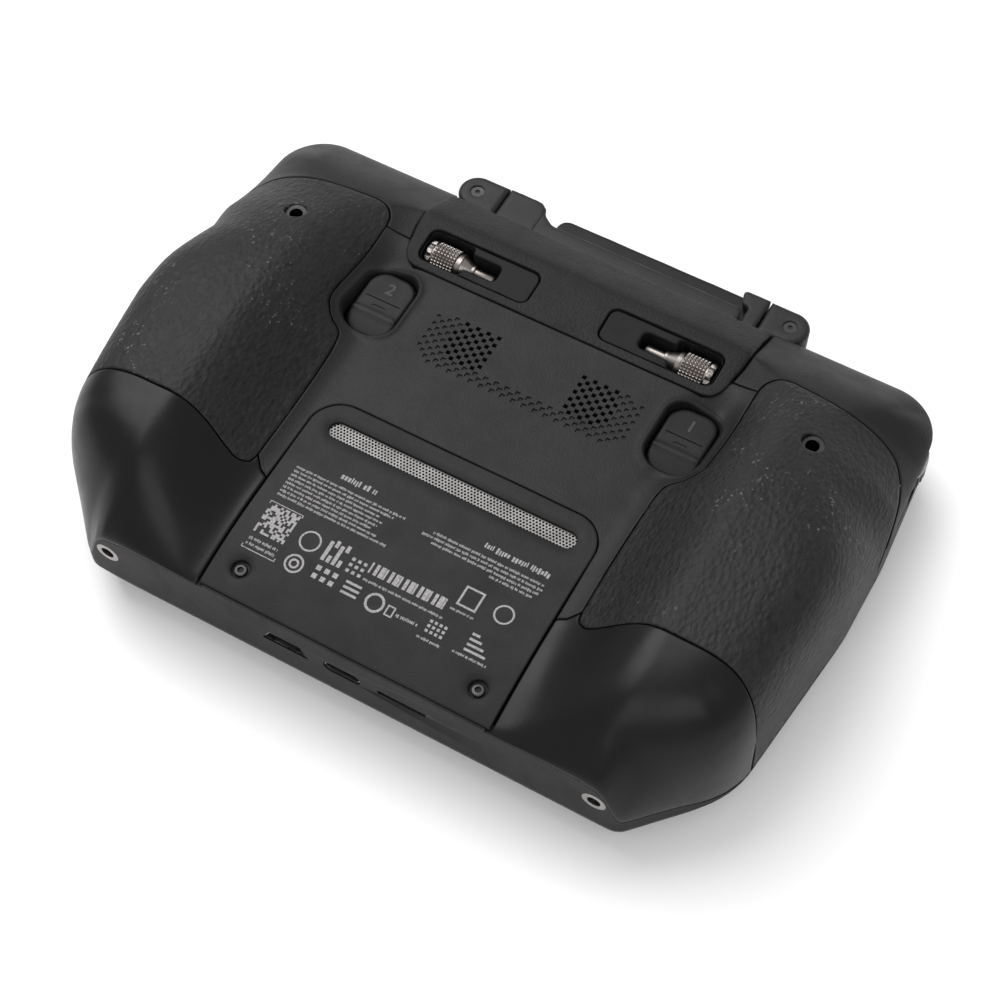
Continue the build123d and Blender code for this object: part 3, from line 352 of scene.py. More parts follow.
def plan_shell(name, outer, height, body, slot, replaces=(), holes=(), spacing=1.2, edge=0.5, lip=LIP,
               walls=(), depth=1.6, mirrored=False, rings=(0.12, 0.3, 0.6, 1.1), closed=False, material=None):
    """A shell over a closed plan outline, at the height given by a function of x and y.
    Its edge rolls down by a lip, except along the walls, where the height itself falls to the wall's foot.
    holes are (outline, depth, closed bottom, lip)."""
    line = closed_line(outer, edge)
    walled = np.zeros(len(line), bool)
    if walls:
        walled = distance_to(walls, line[:, 0], line[:, 1]) < 0.3
    boundary = offset_ring(line, SEAM_GAP)
    boundary[walled] = line[walled]
    loops = [(boundary, depth, False, lip)]
    loops += [(closed_line(points, edge), hole_depth, floor, hole_lip)
              for points, hole_depth, floor, hole_lip in holes]
    rounded_loops = [loops[0]] + [loop for loop in loops[1:] if loop[3] > 0]

    # points: the loops, rings beside the rounded ones, and an even staggered grid
    points = [loop[0] for loop in loops]
    for loop_line, _, _, loop_lip in rounded_loops:
        inward = 1 if loop_line is boundary else -1
        steps = [r * loop_lip / LIP for r in rings]
        if loop_line is boundary and walls:
            steps = [0.02, 0.07, 0.16, 0.34, 0.62, 1.05, 1.7]
        for step in steps:
            ring = offset_ring(loop_line, inward * step)
            keep = distance_to(loop_line, ring[:, 0], ring[:, 1], True) > step * 0.93
            points.append(ring[keep])
    low, high = line.min(axis=0), line.max(axis=0)
    gx, gy = np.meshgrid(np.arange(low[0], high[0], spacing), np.arange(low[1], high[1], spacing))
    gx = gx + (np.arange(gx.shape[0]) % 2)[:, None] * spacing / 2
    grid = np.stack([gx.ravel(), gy.ravel()], axis=1)
    away = distance_to(boundary, grid[:, 0], grid[:, 1], True) > CLEAR
    for loop_line, _, _, loop_lip in loops[1:]:
        close = near_box(grid, loop_line, 2)
        reach = CLEAR if loop_lip > 0 else 0.3
        away[close] &= distance_to(loop_line, grid[close, 0], grid[close, 1], True) > reach
    points.append(grid[away])
    cloud = np.vstack(points)

    # triangles between them, inside the boundary and outside the holes
    constraints, start = [], 0
    for loop_line, *_ in loops:
        count = len(loop_line)
        constraints += [(start + k, start + (k + 1) % count) for k in range(count)]
        start += count
    keep = np.ones(len(cloud), bool)
    rest = cloud[start:]
    keep[start:] = inside(boundary, rest[:, 0], rest[:, 1])
    for loop_line, *_ in loops[1:]:
        close = near_box(rest, loop_line)
        keep[start + close[inside(loop_line, rest[close, 0], rest[close, 1])]] = False
    out = delaunay_2d_cdt([Vector(p) for p in cloud[keep]], constraints, [], 0, 1e-4)
    flat = np.array([tuple(v) for v in out[0]])
    triangles = np.array(out[2])
    middle = flat[triangles].mean(axis=1)
    good = inside(boundary, middle[:, 0], middle[:, 1])
    for loop_line, *_ in loops[1:]:
        close = near_box(middle, loop_line)
        good[close[inside(loop_line, middle[close, 0], middle[close, 1])]] = False

    # heights, with the lips rolled down
    z = np.array(height(flat[:, 0], flat[:, 1]), float)
    for loop_line, _, _, loop_lip in rounded_loops:
        if loop_lip <= 0:
            continue
        if loop_line is boundary and walls:
            gap_to = nearest(loop_line[~walled], flat)
        else:
            gap_to = nearest(resampled(loop_line, 4 * len(loop_line), closed=True), flat)
        t = np.clip(gap_to / loop_lip, 0, 1)
        z -= loop_lip * 0.8 * (1 - np.sqrt(1 - (1 - t) ** 2))
    verts = [(x, y, h) for (x, y), h in zip(flat, z)]
    faces = [list(map(int, face)) for face in triangles[good]]

    # skirts down from each loop, closed below where asked
    lookup = {(round(x, 3), round(y, 3)): k for k, (x, y) in enumerate(flat)}
    for number, (loop_line, loop_depth, floor, _) in enumerate(loops):
        corners = [(round(x, 3), round(y, 3)) for x, y in loop_line]
        index = [lookup[corner] for corner in corners if corner in lookup]
        first, count = len(verts), len(index)
        shifted = offset_ring(flat[index], 0.3 if number == 0 else 0.0)
        verts += [(x, y, z[k] - loop_depth) for k, (x, y) in zip(index, shifted)]
        for k in range(count):
            n = (k + 1) % count
            face = [index[n], index[k], first + k, first + n]
            faces.append(face if number == 0 else face[::-1])
        if floor or (closed and number == 0):
            cap = [first + k for k in range(count)]
            faces.append(cap if floor else cap[::-1])
    verts = [(min(x, HALF_WIDTH), y, h) for x, y, h in verts]
    if mirrored:
        verts = [(-x, y, h) for x, y, h in verts]
        faces = [face[::-1] for face in faces]
    mesh_piece(name, verts, faces, body, slot, replaces, material)


def nearest(cloud, points):
    """Distance from each point to the nearest point of a cloud."""
    tree = KDTree(len(cloud))
    for k, p in enumerate(cloud):
        tree.insert((p[0], p[1], 0.0), k)
    tree.balance()
    return np.array([tree.find((p[0], p[1], 0.0))[2] for p in points])


# seams of the right wing, in plan
SWELL_TOP = -39.2
grip_inner = smooth_line([
    (41.7, -35.6), (41.6, -22.0), (41.9, -8.0), (42.4, -1.0), (43.4, 2.2), (46.6, 4.2), (49.0, 7.6),
    (49.6, 13.0), (49.7, 20.0), (49.7, 28.0), (49.9, 34.6),
], 140)
grip_low = smooth_line([
    (41.7, -35.6), (42.4, -38.2), (44.8, -39.5), (48.2, -38.9), (52.6, -37.7), (57.0, -37.1), (61.0, -37.1),
    (66.0, -37.2), (72.0, -37.3), (77.0, -37.8), (80.5, -38.6), (83.0, -39.6), (85.4, -40.8), (87.3, -42.0),
], 120)
grip_top = smooth_line([
    (49.9, 34.6), (50.5, 37.2), (52.2, 39.4), (55.4, 40.6), (59.0, 40.3), (65.0, 39.6), (71.0, 38.8),
    (77.0, 38.2), (81.5, 37.2), (84.8, 35.4), (87.6, 31.8), (89.6, 27.0), (90.9, 21.0),
    (HALF_WIDTH - 0.02, 14.0),
], 120)
bay_side = [
    (42.4, 33.6), (43.2, 34.9), (43.9, 39.0), (44.2, 43.5), (44.1, 47.0), (44.0, 51.0), (44.1, 55.6),
]

# ---- camera, light and floor ----

AZIMUTH, ELEVATION, ROLL = math.radians(30.54), math.radians(58.86), math.radians(-1.30)
TARGET, DISTANCE = Vector((8.22, -12.72, 20.0)) * MM, 496.4 * MM
LENS, SENSOR = 77.5, 36
FLOOR_HALF, FLOOR_GAP = 6.0, 0.0002


def camera_axes():
    right = Vector((math.cos(AZIMUTH), math.sin(AZIMUTH), 0))
    level = Vector((-math.sin(AZIMUTH), math.cos(AZIMUTH), 0))
    forward = level * math.cos(ELEVATION) - Vector((0, 0, math.sin(ELEVATION)))
    up = right.cross(forward)
    turned_right = right * math.cos(ROLL) + up * math.sin(ROLL)
    turned_up = up * math.cos(ROLL) - right * math.sin(ROLL)
    return turned_right, turned_up, forward


def make_camera():
    right, up, forward = camera_axes()
    data = bpy.data.cameras.new("camera")
    data.lens = LENS
    data.sensor_width = SENSOR
    data.clip_start, data.clip_end = 0.01, 20
    camera = bpy.data.objects.new("camera", data)
    bpy.context.scene.collection.objects.link(camera)
    matrix = Matrix((right, up, -forward)).transposed().to_4x4()
    matrix.translation = TARGET - forward * DISTANCE
    camera.matrix_world = matrix
    bpy.context.scene.camera = camera


def area_light(name, place, target, size, power):
    data = bpy.data.lights.new(name, "AREA")
    data.shape = "SQUARE"
    data.size = size
    data.energy = power
    light = bpy.data.objects.new(name, data)
    bpy.context.scene.collection.objects.link(light)
    light.location = Vector(place)
    light.rotation_mode = "QUATERNION"
    light.rotation_quaternion = (Vector(target) - Vector(place)).to_track_quat("-Z", "Y")


def make_floor():
    material = bpy.data.materials.new("studio_floor")
    material.use_nodes = True
    shader = material.node_tree.nodes["Principled BSDF"]
    shader.inputs["Base Color"].default_value = (0.93, 0.93, 0.93, 1)
    shader.inputs["Roughness"].default_value = 0.9
    mesh = bpy.data.meshes.new("studio_floor")
    corners = [(FLOOR_HALF * x, FLOOR_HALF * y, 0) for x, y in ((-1, -1), (1, -1), (1, 1), (-1, 1))]
    mesh.from_pydata(corners, [], [(0, 1, 2, 3)])
    mesh.materials.append(material)
    floor = bpy.data.objects.new("studio_floor", mesh)
    floor.location.z = cad_low.z - FLOOR_GAP
    bpy.context.scene.collection.objects.link(floor)


def make_studio():
    make_camera()
    make_floor()
    world = bpy.data.worlds.new("studio")
    world.use_nodes = True
    world.node_tree.nodes["Background"].inputs["Color"].default_value = (1, 1, 1, 1)
    world.node_tree.nodes["Background"].inputs["Strength"].default_value = 0.62
    bpy.context.scene.world = world
    area_light("key_light", (-0.75, 0.45, 1.5), (0, 0, 0.02), 1.3, 24)
    area_light("fill_light", (0.5, -1.0, 1.3), (0, 0, 0.02), 1.2, 8)
    bpy.context.scene.view_settings.view_transform = "Standard"


make_studio()

# ---- materials ----


class Nodes:
    """A small helper for building a node material."""

    def __init__(self, name):
        self.material = bpy.data.materials.new(name)
        self.material.use_nodes = True
        self.tree = self.material.node_tree
        self.shader = self.tree.nodes["Principled BSDF"]
        self.place = self.tree.nodes.new("ShaderNodeTexCoord").outputs["Object"]

    def node(self, kind, links=(), **settings):
        node = self.tree.nodes.new("ShaderNode" + kind)
        for key, value in settings.items():
            setattr(node, key, value)
        for socket, source in dict(links).items():
            if isinstance(source, bpy.types.NodeSocket):
                self.tree.links.new(source, node.inputs[socket])
            else:
                node.inputs[socket].default_value = source
        return node

    def noise(self, size_mm, detail=2.0, rough=0.5, distort=0.0, place=None):
        links = {
            "Vector": place or self.place, "Scale": 1000.0 / size_mm, "Detail": detail,
            "Roughness": rough, "Distortion": distort,
        }
        return self.node("TexNoise", links).outputs["Fac"]

    def cells(self, size_mm, feature="F1", smooth=0.5, randomness=1.0, place=None):
        node = self.node("TexVoronoi", feature=feature)
        node.inputs["Scale"].default_value = 1000.0 / size_mm
        node.inputs["Randomness"].default_value = randomness
        if feature == "SMOOTH_F1":
            node.inputs["Smoothness"].default_value = smooth
        self.tree.links.new(place or self.place, node.inputs["Vector"])
        return node.outputs["Distance"]

    def math(self, operation, a, b=0.0):
        return self.node("Math", {0: a, 1: b}, operation=operation).outputs[0]

    def ramp(self, value, low, high, out_low=0.0, out_high=1.0):
        links = {"Value": value, "From Min": low, "From Max": high, "To Min": out_low, "To Max": out_high}
        return self.node("MapRange", links, clamp=True).outputs["Result"]

    def mix(self, factor, a, b):
        node = self.node("Mix", data_type="RGBA")
        for name, source in (("Factor", factor), ("A", a), ("B", b)):
            socket = next(s for s in node.inputs if s.name == name and s.enabled)
            if isinstance(source, bpy.types.NodeSocket):
                self.tree.links.new(source, socket)
            else:
                socket.default_value = source if name == "Factor" else (*source, 1.0)
        return next(s for s in node.outputs if s.enabled)

    def set(self, **values):
        """Shader sockets: a number, a colour or a node's output. Underscores stand for spaces."""
        for key, source in values.items():
            socket = self.shader.inputs[key.replace("_", " ")]
            if isinstance(source, bpy.types.NodeSocket):
                self.tree.links.new(source, socket)
            else:
                socket.default_value = (*source, 1.0) if isinstance(source, tuple) else source
        return self

    def bump(self, height, depth_mm, strength=1.0):
        node = self.node("Bump", {"Height": height, "Distance": depth_mm * MM, "Strength": strength})
        self.tree.links.new(node.outputs["Normal"], self.shader.inputs["Normal"])
        return self


SHADE = 0.62             # how dark the whole object's plastics are
STAIN = 0.75             # how much darker the metals' stains are


def moulded_plastic(name, colour, roughness, grain_mm, grain_depth, clouding=0.34):
    """Moulded plastic: spark-eroded grain, slight clouding and faint handling marks."""
    m = Nodes(name)
    grain = m.cells(grain_mm, "SMOOTH_F1", 0.6)
    fine = m.noise(grain_mm * 0.45, 2.0)
    height = m.math("ADD", m.math("MULTIPLY", grain, 0.7), m.math("MULTIPLY", fine, 0.5))
    cloud = m.noise(22.0, 3.0, 0.6)
    smudge = m.ramp(m.noise(9.0, 4.0, 0.65, 0.4), 0.45, 0.75)
    dark = tuple(SHADE * c * (1 - clouding) for c in colour)
    light = tuple(SHADE * c * (1 + clouding) for c in colour)
    speck = m.ramp(m.noise(grain_mm * 0.8, 2.0, 0.7), 0.35, 0.68)
    shade = m.math("ADD", m.math("MULTIPLY", m.ramp(cloud, 0.3, 0.7), 0.45), m.math("MULTIPLY", speck, 0.55))
    m.set(Base_Color=m.mix(shade, dark, light))
    wide = m.ramp(smudge, 0.0, 1.0, roughness - 0.03, roughness + 0.06)
    m.set(Roughness=m.math("ADD", wide, m.math("MULTIPLY", m.math("SUBTRACT", fine, 0.5), 0.12)))
    m.set(Specular_IOR_Level=0.2)
    return m.bump(height, grain_depth, 0.9).material


def grip_rubber(name):
    """Soft grip rubber with a leather grain, dulled and whitened where hands rub it."""
    m = Nodes(name)
    warp = m.node("VectorMath", {0: m.place}, operation="MULTIPLY")
    warp.inputs[1].default_value = (1.0, 0.62, 1.0)
    wrinkled = warp.outputs[0]
    crease = m.cells(1.15, "SMOOTH_F1", 0.35, 1.0, wrinkled)
    folds = m.noise(1.7, 3.0, 0.6, 1.2, wrinkled)
    fine = m.noise(0.35, 2.0)
    height = m.math("ADD", m.math("MULTIPLY", crease, 0.8), m.math("MULTIPLY", folds, 0.9))
    height = m.math("ADD", height, m.math("MULTIPLY", fine, 0.12))
    patch = m.ramp(m.noise(17.0, 2.0, 0.5), 0.54, 0.66)
    peaks = m.ramp(crease, 0.55, 0.78)
    specks = m.ramp(m.noise(0.7, 1.0), 0.57, 0.68)
    wear = m.math("MULTIPLY", m.math("MULTIPLY", peaks, specks), patch)
    base = m.mix(m.ramp(folds, 0.35, 0.65), (0.0055, 0.0053, 0.0058), (0.0125, 0.012, 0.013))
    m.set(Base_Color=m.mix(m.math("MULTIPLY", wear, 0.4), base, (0.32, 0.315, 0.32)))
    m.set(Roughness=m.ramp(folds, 0.3, 0.7, 0.46, 0.62), Specular_IOR_Level=0.26)
    return m.bump(height, 0.24, 1.0).material


def metal(name, colour, roughness, grain_mm=0.3, depth=0.004):
    """Turned or plated metal with fine tool marks and a little staining."""
    m = Nodes(name)
    fine = m.noise(grain_mm, 3.0)
    cloud = m.ramp(m.noise(3.5, 3.0), 0.35, 0.7)
    m.set(Base_Color=m.mix(cloud, tuple(STAIN * c for c in colour), colour))
    m.set(Metallic=1.0, Roughness=m.ramp(fine, 0.3, 0.7, roughness - 0.05, roughness + 0.08))
    return m.bump(fine, depth, 0.6).material


def glass(name):
    """Cover glass: dark and glossy, with faint smears."""
    m = Nodes(name)
    smear = m.ramp(m.noise(16.0, 4.0, 0.6, 0.8), 0.45, 0.75)
    m.set(Base_Color=m.mix(smear, (0.004, 0.004, 0.005), (0.007, 0.007, 0.009)))
    m.set(Roughness=m.math("MULTIPLY", smear, 0.09), Specular_IOR_Level=0.6)
    m.set(Coat_Weight=0.6, Coat_Roughness=0.02)
    return m.bump(m.noise(30.0, 1.0), 0.01, 0.3).material


def circuit_board(name):
    """Solder mask with copper showing faintly through it."""
    m = Nodes(name)
    traces = m.ramp(m.cells(2.6, "F1", 0, 0.6), 0.28, 0.32)
    m.set(Base_Color=m.mix(traces, (0.004, 0.035, 0.02), (0.01, 0.07, 0.04)))
    m.set(Roughness=m.ramp(m.noise(0.8), 0.3, 0.7, 0.32, 0.45))
    return m.bump(traces, 0.03, 0.6).material


def printed_ink(name, tone):
    """Light grey pad print, slightly broken up."""
    m = Nodes(name)
    broken = m.ramp(m.noise(0.25, 2.0), 0.3, 0.6)
    thin, full = (0.13, 0.125, 0.125), (0.34, 0.33, 0.33)
    m.set(Base_Color=m.mix(broken, tuple(tone * c for c in thin), tuple(tone * c for c in full)))
    m.set(Roughness=m.ramp(broken, 0.0, 1.0, 0.7, 0.6))
    return m.bump(broken, 0.01, 0.4).material


def cell_film(name):
    """Shrink film over the battery cells."""
    m = Nodes(name)
    wrinkle = m.noise(6.0, 4.0, 0.6, 1.0)
    m.set(Base_Color=m.mix(m.ramp(wrinkle, 0.3, 0.7), (0.03, 0.12, 0.2), (0.04, 0.16, 0.26)))
    m.set(Roughness=m.ramp(wrinkle, 0.3, 0.7, 0.22, 0.34))
    return m.bump(wrinkle, 0.2, 0.5).material


PLASTICS = {             # colour, roughness, grain size and depth in mm, clouding
    "frame_plastic": ((0.0085, 0.0082, 0.009), 0.55, 0.42, 0.02),
    "center_plastic": ((0.0180, 0.0172, 0.0190), 0.5, 0.42, 0.06),
    "bay_plastic": ((0.0120, 0.0116, 0.0125), 0.56, 0.62, 0.16, 0.5),
    "liner_silicone": ((0.0050, 0.0050, 0.0053), 0.6, 0.3, 0.008),
    "swell_plastic": ((0.0075, 0.0072, 0.0078), 0.34, 0.34, 0.012, 0.12),
    "shoulder_plastic": ((0.0125, 0.012, 0.013), 0.48, 0.45, 0.06),
    "label_film": ((0.0150, 0.0143, 0.0160), 0.52, 0.38, 0.045),
    "fan_plastic": ((0.02, 0.02, 0.02), 0.4, 0.5, 0.01),
    "speaker_plastic": ((0.02, 0.02, 0.02), 0.5, 0.4, 0.02),
    "antenna_plastic": ((0.026, 0.026, 0.0275), 0.4, 0.4, 0.012),
    # a darker copy of the antenna plastic: painted shade for the right arm's lower layer, in the slot beside
    # the left blade
    "antenna_painted_shade": ((0.009, 0.009, 0.0095), 0.42, 0.4, 0.012),
    "gimbal_plastic": ((0.014, 0.014, 0.0145), 0.45, 0.4, 0.015),
    "stub_plastic": ((0.016, 0.016, 0.017), 0.4, 0.4, 0.012),
    "dial_plastic": ((0.022, 0.022, 0.023), 0.45, 0.4, 0.02),
    "button_plastic": ((0.0080, 0.0078, 0.0084), 0.46, 0.36, 0.02),
    # near-black sheet colour: painted shade under the air intakes and the exhaust mesh
    "painted_shade_black": ((0.0022, 0.0022, 0.0024), 0.85, 0.5, 0.02),
}
METALS = {               # colour, roughness, grain size and depth in mm
    "mesh_steel": ((0.20, 0.195, 0.19), 0.45),
    "screw_steel": ((0.05, 0.05, 0.052), 0.35),
    "insert_steel": ((0.36, 0.34, 0.33), 0.28),
    "dark_insert": ((0.045, 0.043, 0.044), 0.4),
    "chassis_alloy": ((0.5, 0.5, 0.5), 0.4),
    "port_steel": ((0.25, 0.245, 0.24), 0.3, 1.5, 0.002),
    "gimbal_alloy": ((0.45, 0.45, 0.46), 0.35),
    "joint_alloy": ((0.45, 0.45, 0.46), 0.35),
    "rim_metal": ((0.30, 0.30, 0.30), 0.3),
    "stick_alloy": ((0.27, 0.245, 0.23), 0.34),
}
MATERIALS = {name: moulded_plastic(name, *look) for name, look in PLASTICS.items()}
MATERIALS.update({name: metal(name, *look) for name, look in METALS.items()})
MATERIALS.update({
    "grip_rubber": grip_rubber("grip_rubber"), "screen_glass": glass("screen_glass"),
    "display": glass("display"), "board": circuit_board("board"), "cell_wrap": cell_film("cell_wrap"),
    "ink": printed_ink("ink", 1.0), "button_ink": printed_ink("button_ink", 0.12),
})

for part in frame["record"]["subparts"]:
    node_mesh = nodes[part["node"]].data
    node_mesh.materials.clear()
    node_mesh.materials.append(MATERIALS[part["material_slot"]])
nodes["grip_inserts"].data.materials[0] = MATERIALS["dark_insert"]

# ---- grips, palm swells and shoulders ----

grip_wall = outline_between(grip_low[-1], grip_top[-1])
swell_wall = outline_between((WING_FOOT_X, BOTTOM_Y), grip_low[-1])
shoulder_wall = outline_between(grip_top[-1], (44.1, SHOULDER_Y))
insert_low, insert_high = box_mm("grip_inserts")
INSERT_R = 2.9
INSERT_X = insert_high.x - INSERT_R
INSERT_Y = (insert_low.y + insert_high.y) / 2


def circle(cx, cy, radius, count=40):
    return [(cx + radius * math.cos(2 * math.pi * k / count), cy + radius * math.sin(2 * math.pi * k / count))
            for k in range(count)]


insert_hole = (circle(INSERT_X, INSERT_Y, 2.75), 3.0, False, 0.45)
grip_plan = [*grip_low, *grip_wall[1:-1], *grip_top[::-1], *grip_inner[::-1][1:-1]]
swell_plan = [*swell_wall, *grip_low[::-1][1:], (39.4, -38.2), (WING_FOOT_X, SWELL_TOP)]
shoulder_plan = [*grip_top, *shoulder_wall[1:], *bay_side[::-1][:-1]]

for side_name, side in SIDES.items():
    for skin, slot, node, plan, wall, holes in (
        ("grip_skin_", "grip_rubber", "grip_", grip_plan, grip_wall, [insert_hole]),
        ("swell_skin_", "swell_plastic", "palm_swell_", swell_plan, swell_wall, []),
        ("shoulder_skin_", "shoulder_plastic", "shoulder_", shoulder_plan, shoulder_wall, []),
    ):
        plan_shell(skin + side_name, plan, back_height, "housing", slot, [node + side_name], holes,
                   walls=wall, mirrored=side < 0)

# ---- front frame ----


def wall_band(points, low, high, thickness, outside=0.0):
    """A closed strip of wall along a stretch of the plan outline, between two heights at each point."""
    line = np.array(points, float)
    tangent = np.gradient(line, axis=0)
    tangent /= np.hypot(*tangent.T)[:, None]
    inward = np.stack([-tangent[:, 1], tangent[:, 0]], axis=1)
    outer, inner = line - inward * outside, line + inward * thickness
    verts = []
    for (ox, oy), (ix, iy), z0, z1 in zip(outer, inner, low, high):
        verts += [(ox, oy, z0), (ox, oy, z1), (ix, iy, z1), (ix, iy, z0)]
    faces = [[0, 1, 2, 3], [len(verts) - 1, len(verts) - 2, len(verts) - 3, len(verts) - 4]]
    for k in range(len(line) - 1):
        for c in range(4):
            n = (c + 1) % 4
            faces.append([4 * k + c, 4 * k + 4 + c, 4 * k + 4 + n, 4 * k + n])
    return verts, faces


def loose_object(name, verts, faces):
    """A helper solid for a boolean cut, outside the scene."""
    mesh = bpy.data.meshes.new(name)
    mesh.from_pydata([Vector(v) * MM for v in verts], [], faces)
    work = bmesh.new()
    work.from_mesh(mesh)
    bmesh.ops.recalc_face_normals(work, faces=work.faces)
    work.to_mesh(mesh)
    work.free()
    return bpy.data.objects.new(name, mesh)


def cut_mesh(name, mesh, cutters):
    """A copy of a mesh with solids cut out of it."""
    target = bpy.data.objects.new(name, mesh.copy())
    bpy.context.scene.collection.objects.link(target)
    for cutter in cutters:
        bpy.context.scene.collection.objects.link(cutter)
        modifier = target.modifiers.new("cut", "BOOLEAN")
        modifier.operation = "DIFFERENCE"
        modifier.solver = "EXACT"
        modifier.object = cutter
    bpy.context.view_layer.update()
    result = bpy.data.meshes.new_from_object(target.evaluated_get(bpy.context.evaluated_depsgraph_get()))
    for thing in [target, *cutters]:
        bpy.data.objects.remove(thing)
    result.materials.clear()
    return result


def cylinder(start, end, radius, count=32):
    """A closed cylinder between two points."""
    start, end = Vector(start), Vector(end)
    turn = (end - start).to_track_quat("Z", "Y")
    verts = []
    for base in (start, end):
        for k in range(count):
            a = 2 * math.pi * k / count
            verts.append(base + turn @ Vector((radius * math.cos(a), radius * math.sin(a), 0)))
    faces = [[k, (k + 1) % count, count + (k + 1) % count, count + k] for k in range(count)]
    faces += [list(range(count))[::-1], list(range(count, 2 * count))]
    return verts, faces


WALL = 2.4
WALL_GAP = 0.42          # between the side walls' tops and the skins' feet
CUT_TOP = 45.0           # above everything that the walls' cutters have to clear
RAIL_PLAIN_X = 36.0      # the rail keeps its CAD wall as far out as this
CREASE = 35              # degrees past which the frame's edges are shaded sharp
run = outline_between((RAIL_PLAIN_X, BOTTOM_Y), (90.9, 24.5))
cut_low = np.full(len(run), BELT_Z - 0.1)
run_top = np.maximum(np.array([float(seam_height(x, y)) for x, y in run]) - WALL_GAP, cut_low + 0.05)
rail_insert_low, rail_insert_high = box_mm("rail_inserts")
RAIL_INSERT_X, RAIL_INSERT_Z = rail_insert_high.x - INSERT_R, (rail_insert_low.z + rail_insert_high.z) / 2
cutters = []
for side in SIDES.values():
    verts, faces = wall_band(run, cut_low, np.full(len(run), CUT_TOP), WALL + 0.3, 1.0)
    cutters.append(loose_object("wall_cut", [(side * x, y, z) for x, y, z in verts], faces))
frame_mesh = cut_mesh("frame_cut", nodes["front_frame"].data, cutters)
ride_piece("front_frame_shell", frame_mesh, "housing", "frame_plastic", ["front_frame"], sharp=CREASE)
for side_name, side in SIDES.items():
    verts, faces = wall_band(run, cut_low, run_top, WALL)
    band = loose_object("band", [(side * x, y, z) for x, y, z in verts], faces)
    ends = [(side * RAIL_INSERT_X, BOTTOM_Y + reach, RAIL_INSERT_Z) for reach in (-2, 5)]
    hole = loose_object("hole", *cylinder(*ends, INSERT_R + 0.05))
    band_mesh = cut_mesh("band_cut", band.data, [hole])
    bpy.data.objects.remove(band)
    ride_piece("side_wall_" + side_name, band_mesh, "housing", "frame_plastic", sharp=CREASE)

# ---- middle shell and its air intakes ----

BAY_Y = box_mm("bay_cover")[0].y
LABEL_HALF, LABEL_R = 37.05, 8.0
LABEL_TOP, LABEL_FOOT = label_high.y + 0.2, BOTTOM_Y + 0.55
LABEL_SHOULDER = -21.5   # below this the label's sides are straight
label_outline = rounded(
    [(-LABEL_HALF, LABEL_FOOT), (LABEL_HALF, LABEL_FOOT), (LABEL_HALF, LABEL_TOP), (-LABEL_HALF, LABEL_TOP)],
    [0, 0, LABEL_R, LABEL_R], 0.5,
)
button_low, button_high = box_mm("custom_button_right")
BUTTON_X, BUTTON_Y = (button_low.x + button_high.x) / 2, (button_low.y + button_high.y) / 2
BUTTON_W, BUTTON_H = button_high.x - button_low.x, button_high.y - button_low.y
BUTTON_Z = button_high.z

middle_right = [
    (LABEL_HALF + 0.2, SWELL_TOP), (39.4, -38.2), *grip_inner, (43.3, 34.9), (42.5, 33.2), (41.2, 30.4),
    (38.6, BAY_Y),
]
middle_plan = [
    *middle_right, *[(-x, y) for x, y in reversed(middle_right)], (-LABEL_HALF, LABEL_SHOULDER),
    *[p for p in reversed(label_outline) if p[1] > LABEL_SHOULDER + 0.1], (LABEL_HALF, LABEL_SHOULDER),
]

INTAKE_PITCH, INTAKE_ROW, INTAKE_SIZE = 2.84, 1.15, 1.08
INTAKE_LOW, INTAKE_BAND, INTAKE_TOP = 5.7, 8.5, 20.0
INTAKE_REACH, INTAKE_CORNER, LOBE_INNER = 27.2, 24.5, 10.4
INTAKE_MID = 1.35        # the two lobes mirror about this line
open_lobe = [(11.0, 8.2), (19.6, 8.2), (21.6, 10.2), (21.3, 17.0), (19.9, 20.2), (10.6, 20.2), (10.9, 12.0)]


def intake_squares():
    """Square air holes: open in two lobes, fading into shallow ones round them and in a band between."""
    squares = []
    rows = int((INTAKE_TOP - INTAKE_LOW) / INTAKE_ROW) + 1
    for row in range(rows):
        y = INTAKE_LOW + INTAKE_ROW * row
        for column in range(-11, 12):
            x = INTAKE_PITCH * (column + 0.5 * (row % 2))
            ax = abs(x)
            if ax > INTAKE_REACH or (y > INTAKE_BAND and ax < LOBE_INNER):
                continue
            if ax > INTAKE_CORNER and (y < 7.5 or y > 18.8):
                continue
            is_open = inside(open_lobe, [ax], [y])[0]
            fade = np.clip((ax - 20.0) / 8.0, 0, 1)
            size = INTAKE_SIZE * (1.0 - 0.25 * fade) * (1.0 if is_open else 1.08)
            squares.append((x + INTAKE_MID, y, size, is_open))
    return squares


def square(cx, cy, size):
    h = size / 2
    return [(cx - h, cy - h), (cx + h, cy - h), (cx + h, cy + h), (cx - h, cy + h)]


WELL_GAP, WELL_R = 0.42, 4.9


def well_gap(x, y):
    """Distance outside the custom buttons' wells."""
    dx = np.abs(np.abs(x) - BUTTON_X) - (BUTTON_W / 2 + WELL_GAP - WELL_R)
    dy = np.abs(y - BUTTON_Y) - (BUTTON_H / 2 + WELL_GAP - WELL_R)
    return np.hypot(np.maximum(dx, 0), np.maximum(dy, 0)) + np.minimum(np.maximum(dx, dy), 0) - WELL_R


def middle_height(x, y):
    """The middle shell: the back's surface with a raised bezel round each custom button."""
    return back_height(x, y) + 0.42 * np.exp(-(((well_gap(x, y) - 0.75) / 0.5) ** 2))


def flat_height(level):
    return lambda x, y: np.full(np.shape(x), level)


def shade_sheet(name, plan, level):
    """A near-black sheet under an opening: painted shade for the dark inside it."""
    plan_shell(
        name, plan, flat_height(level), "housing", "liner_silicone", spacing=4, depth=0.3, edge=2, lip=0,
        material="painted_shade_black",
    )


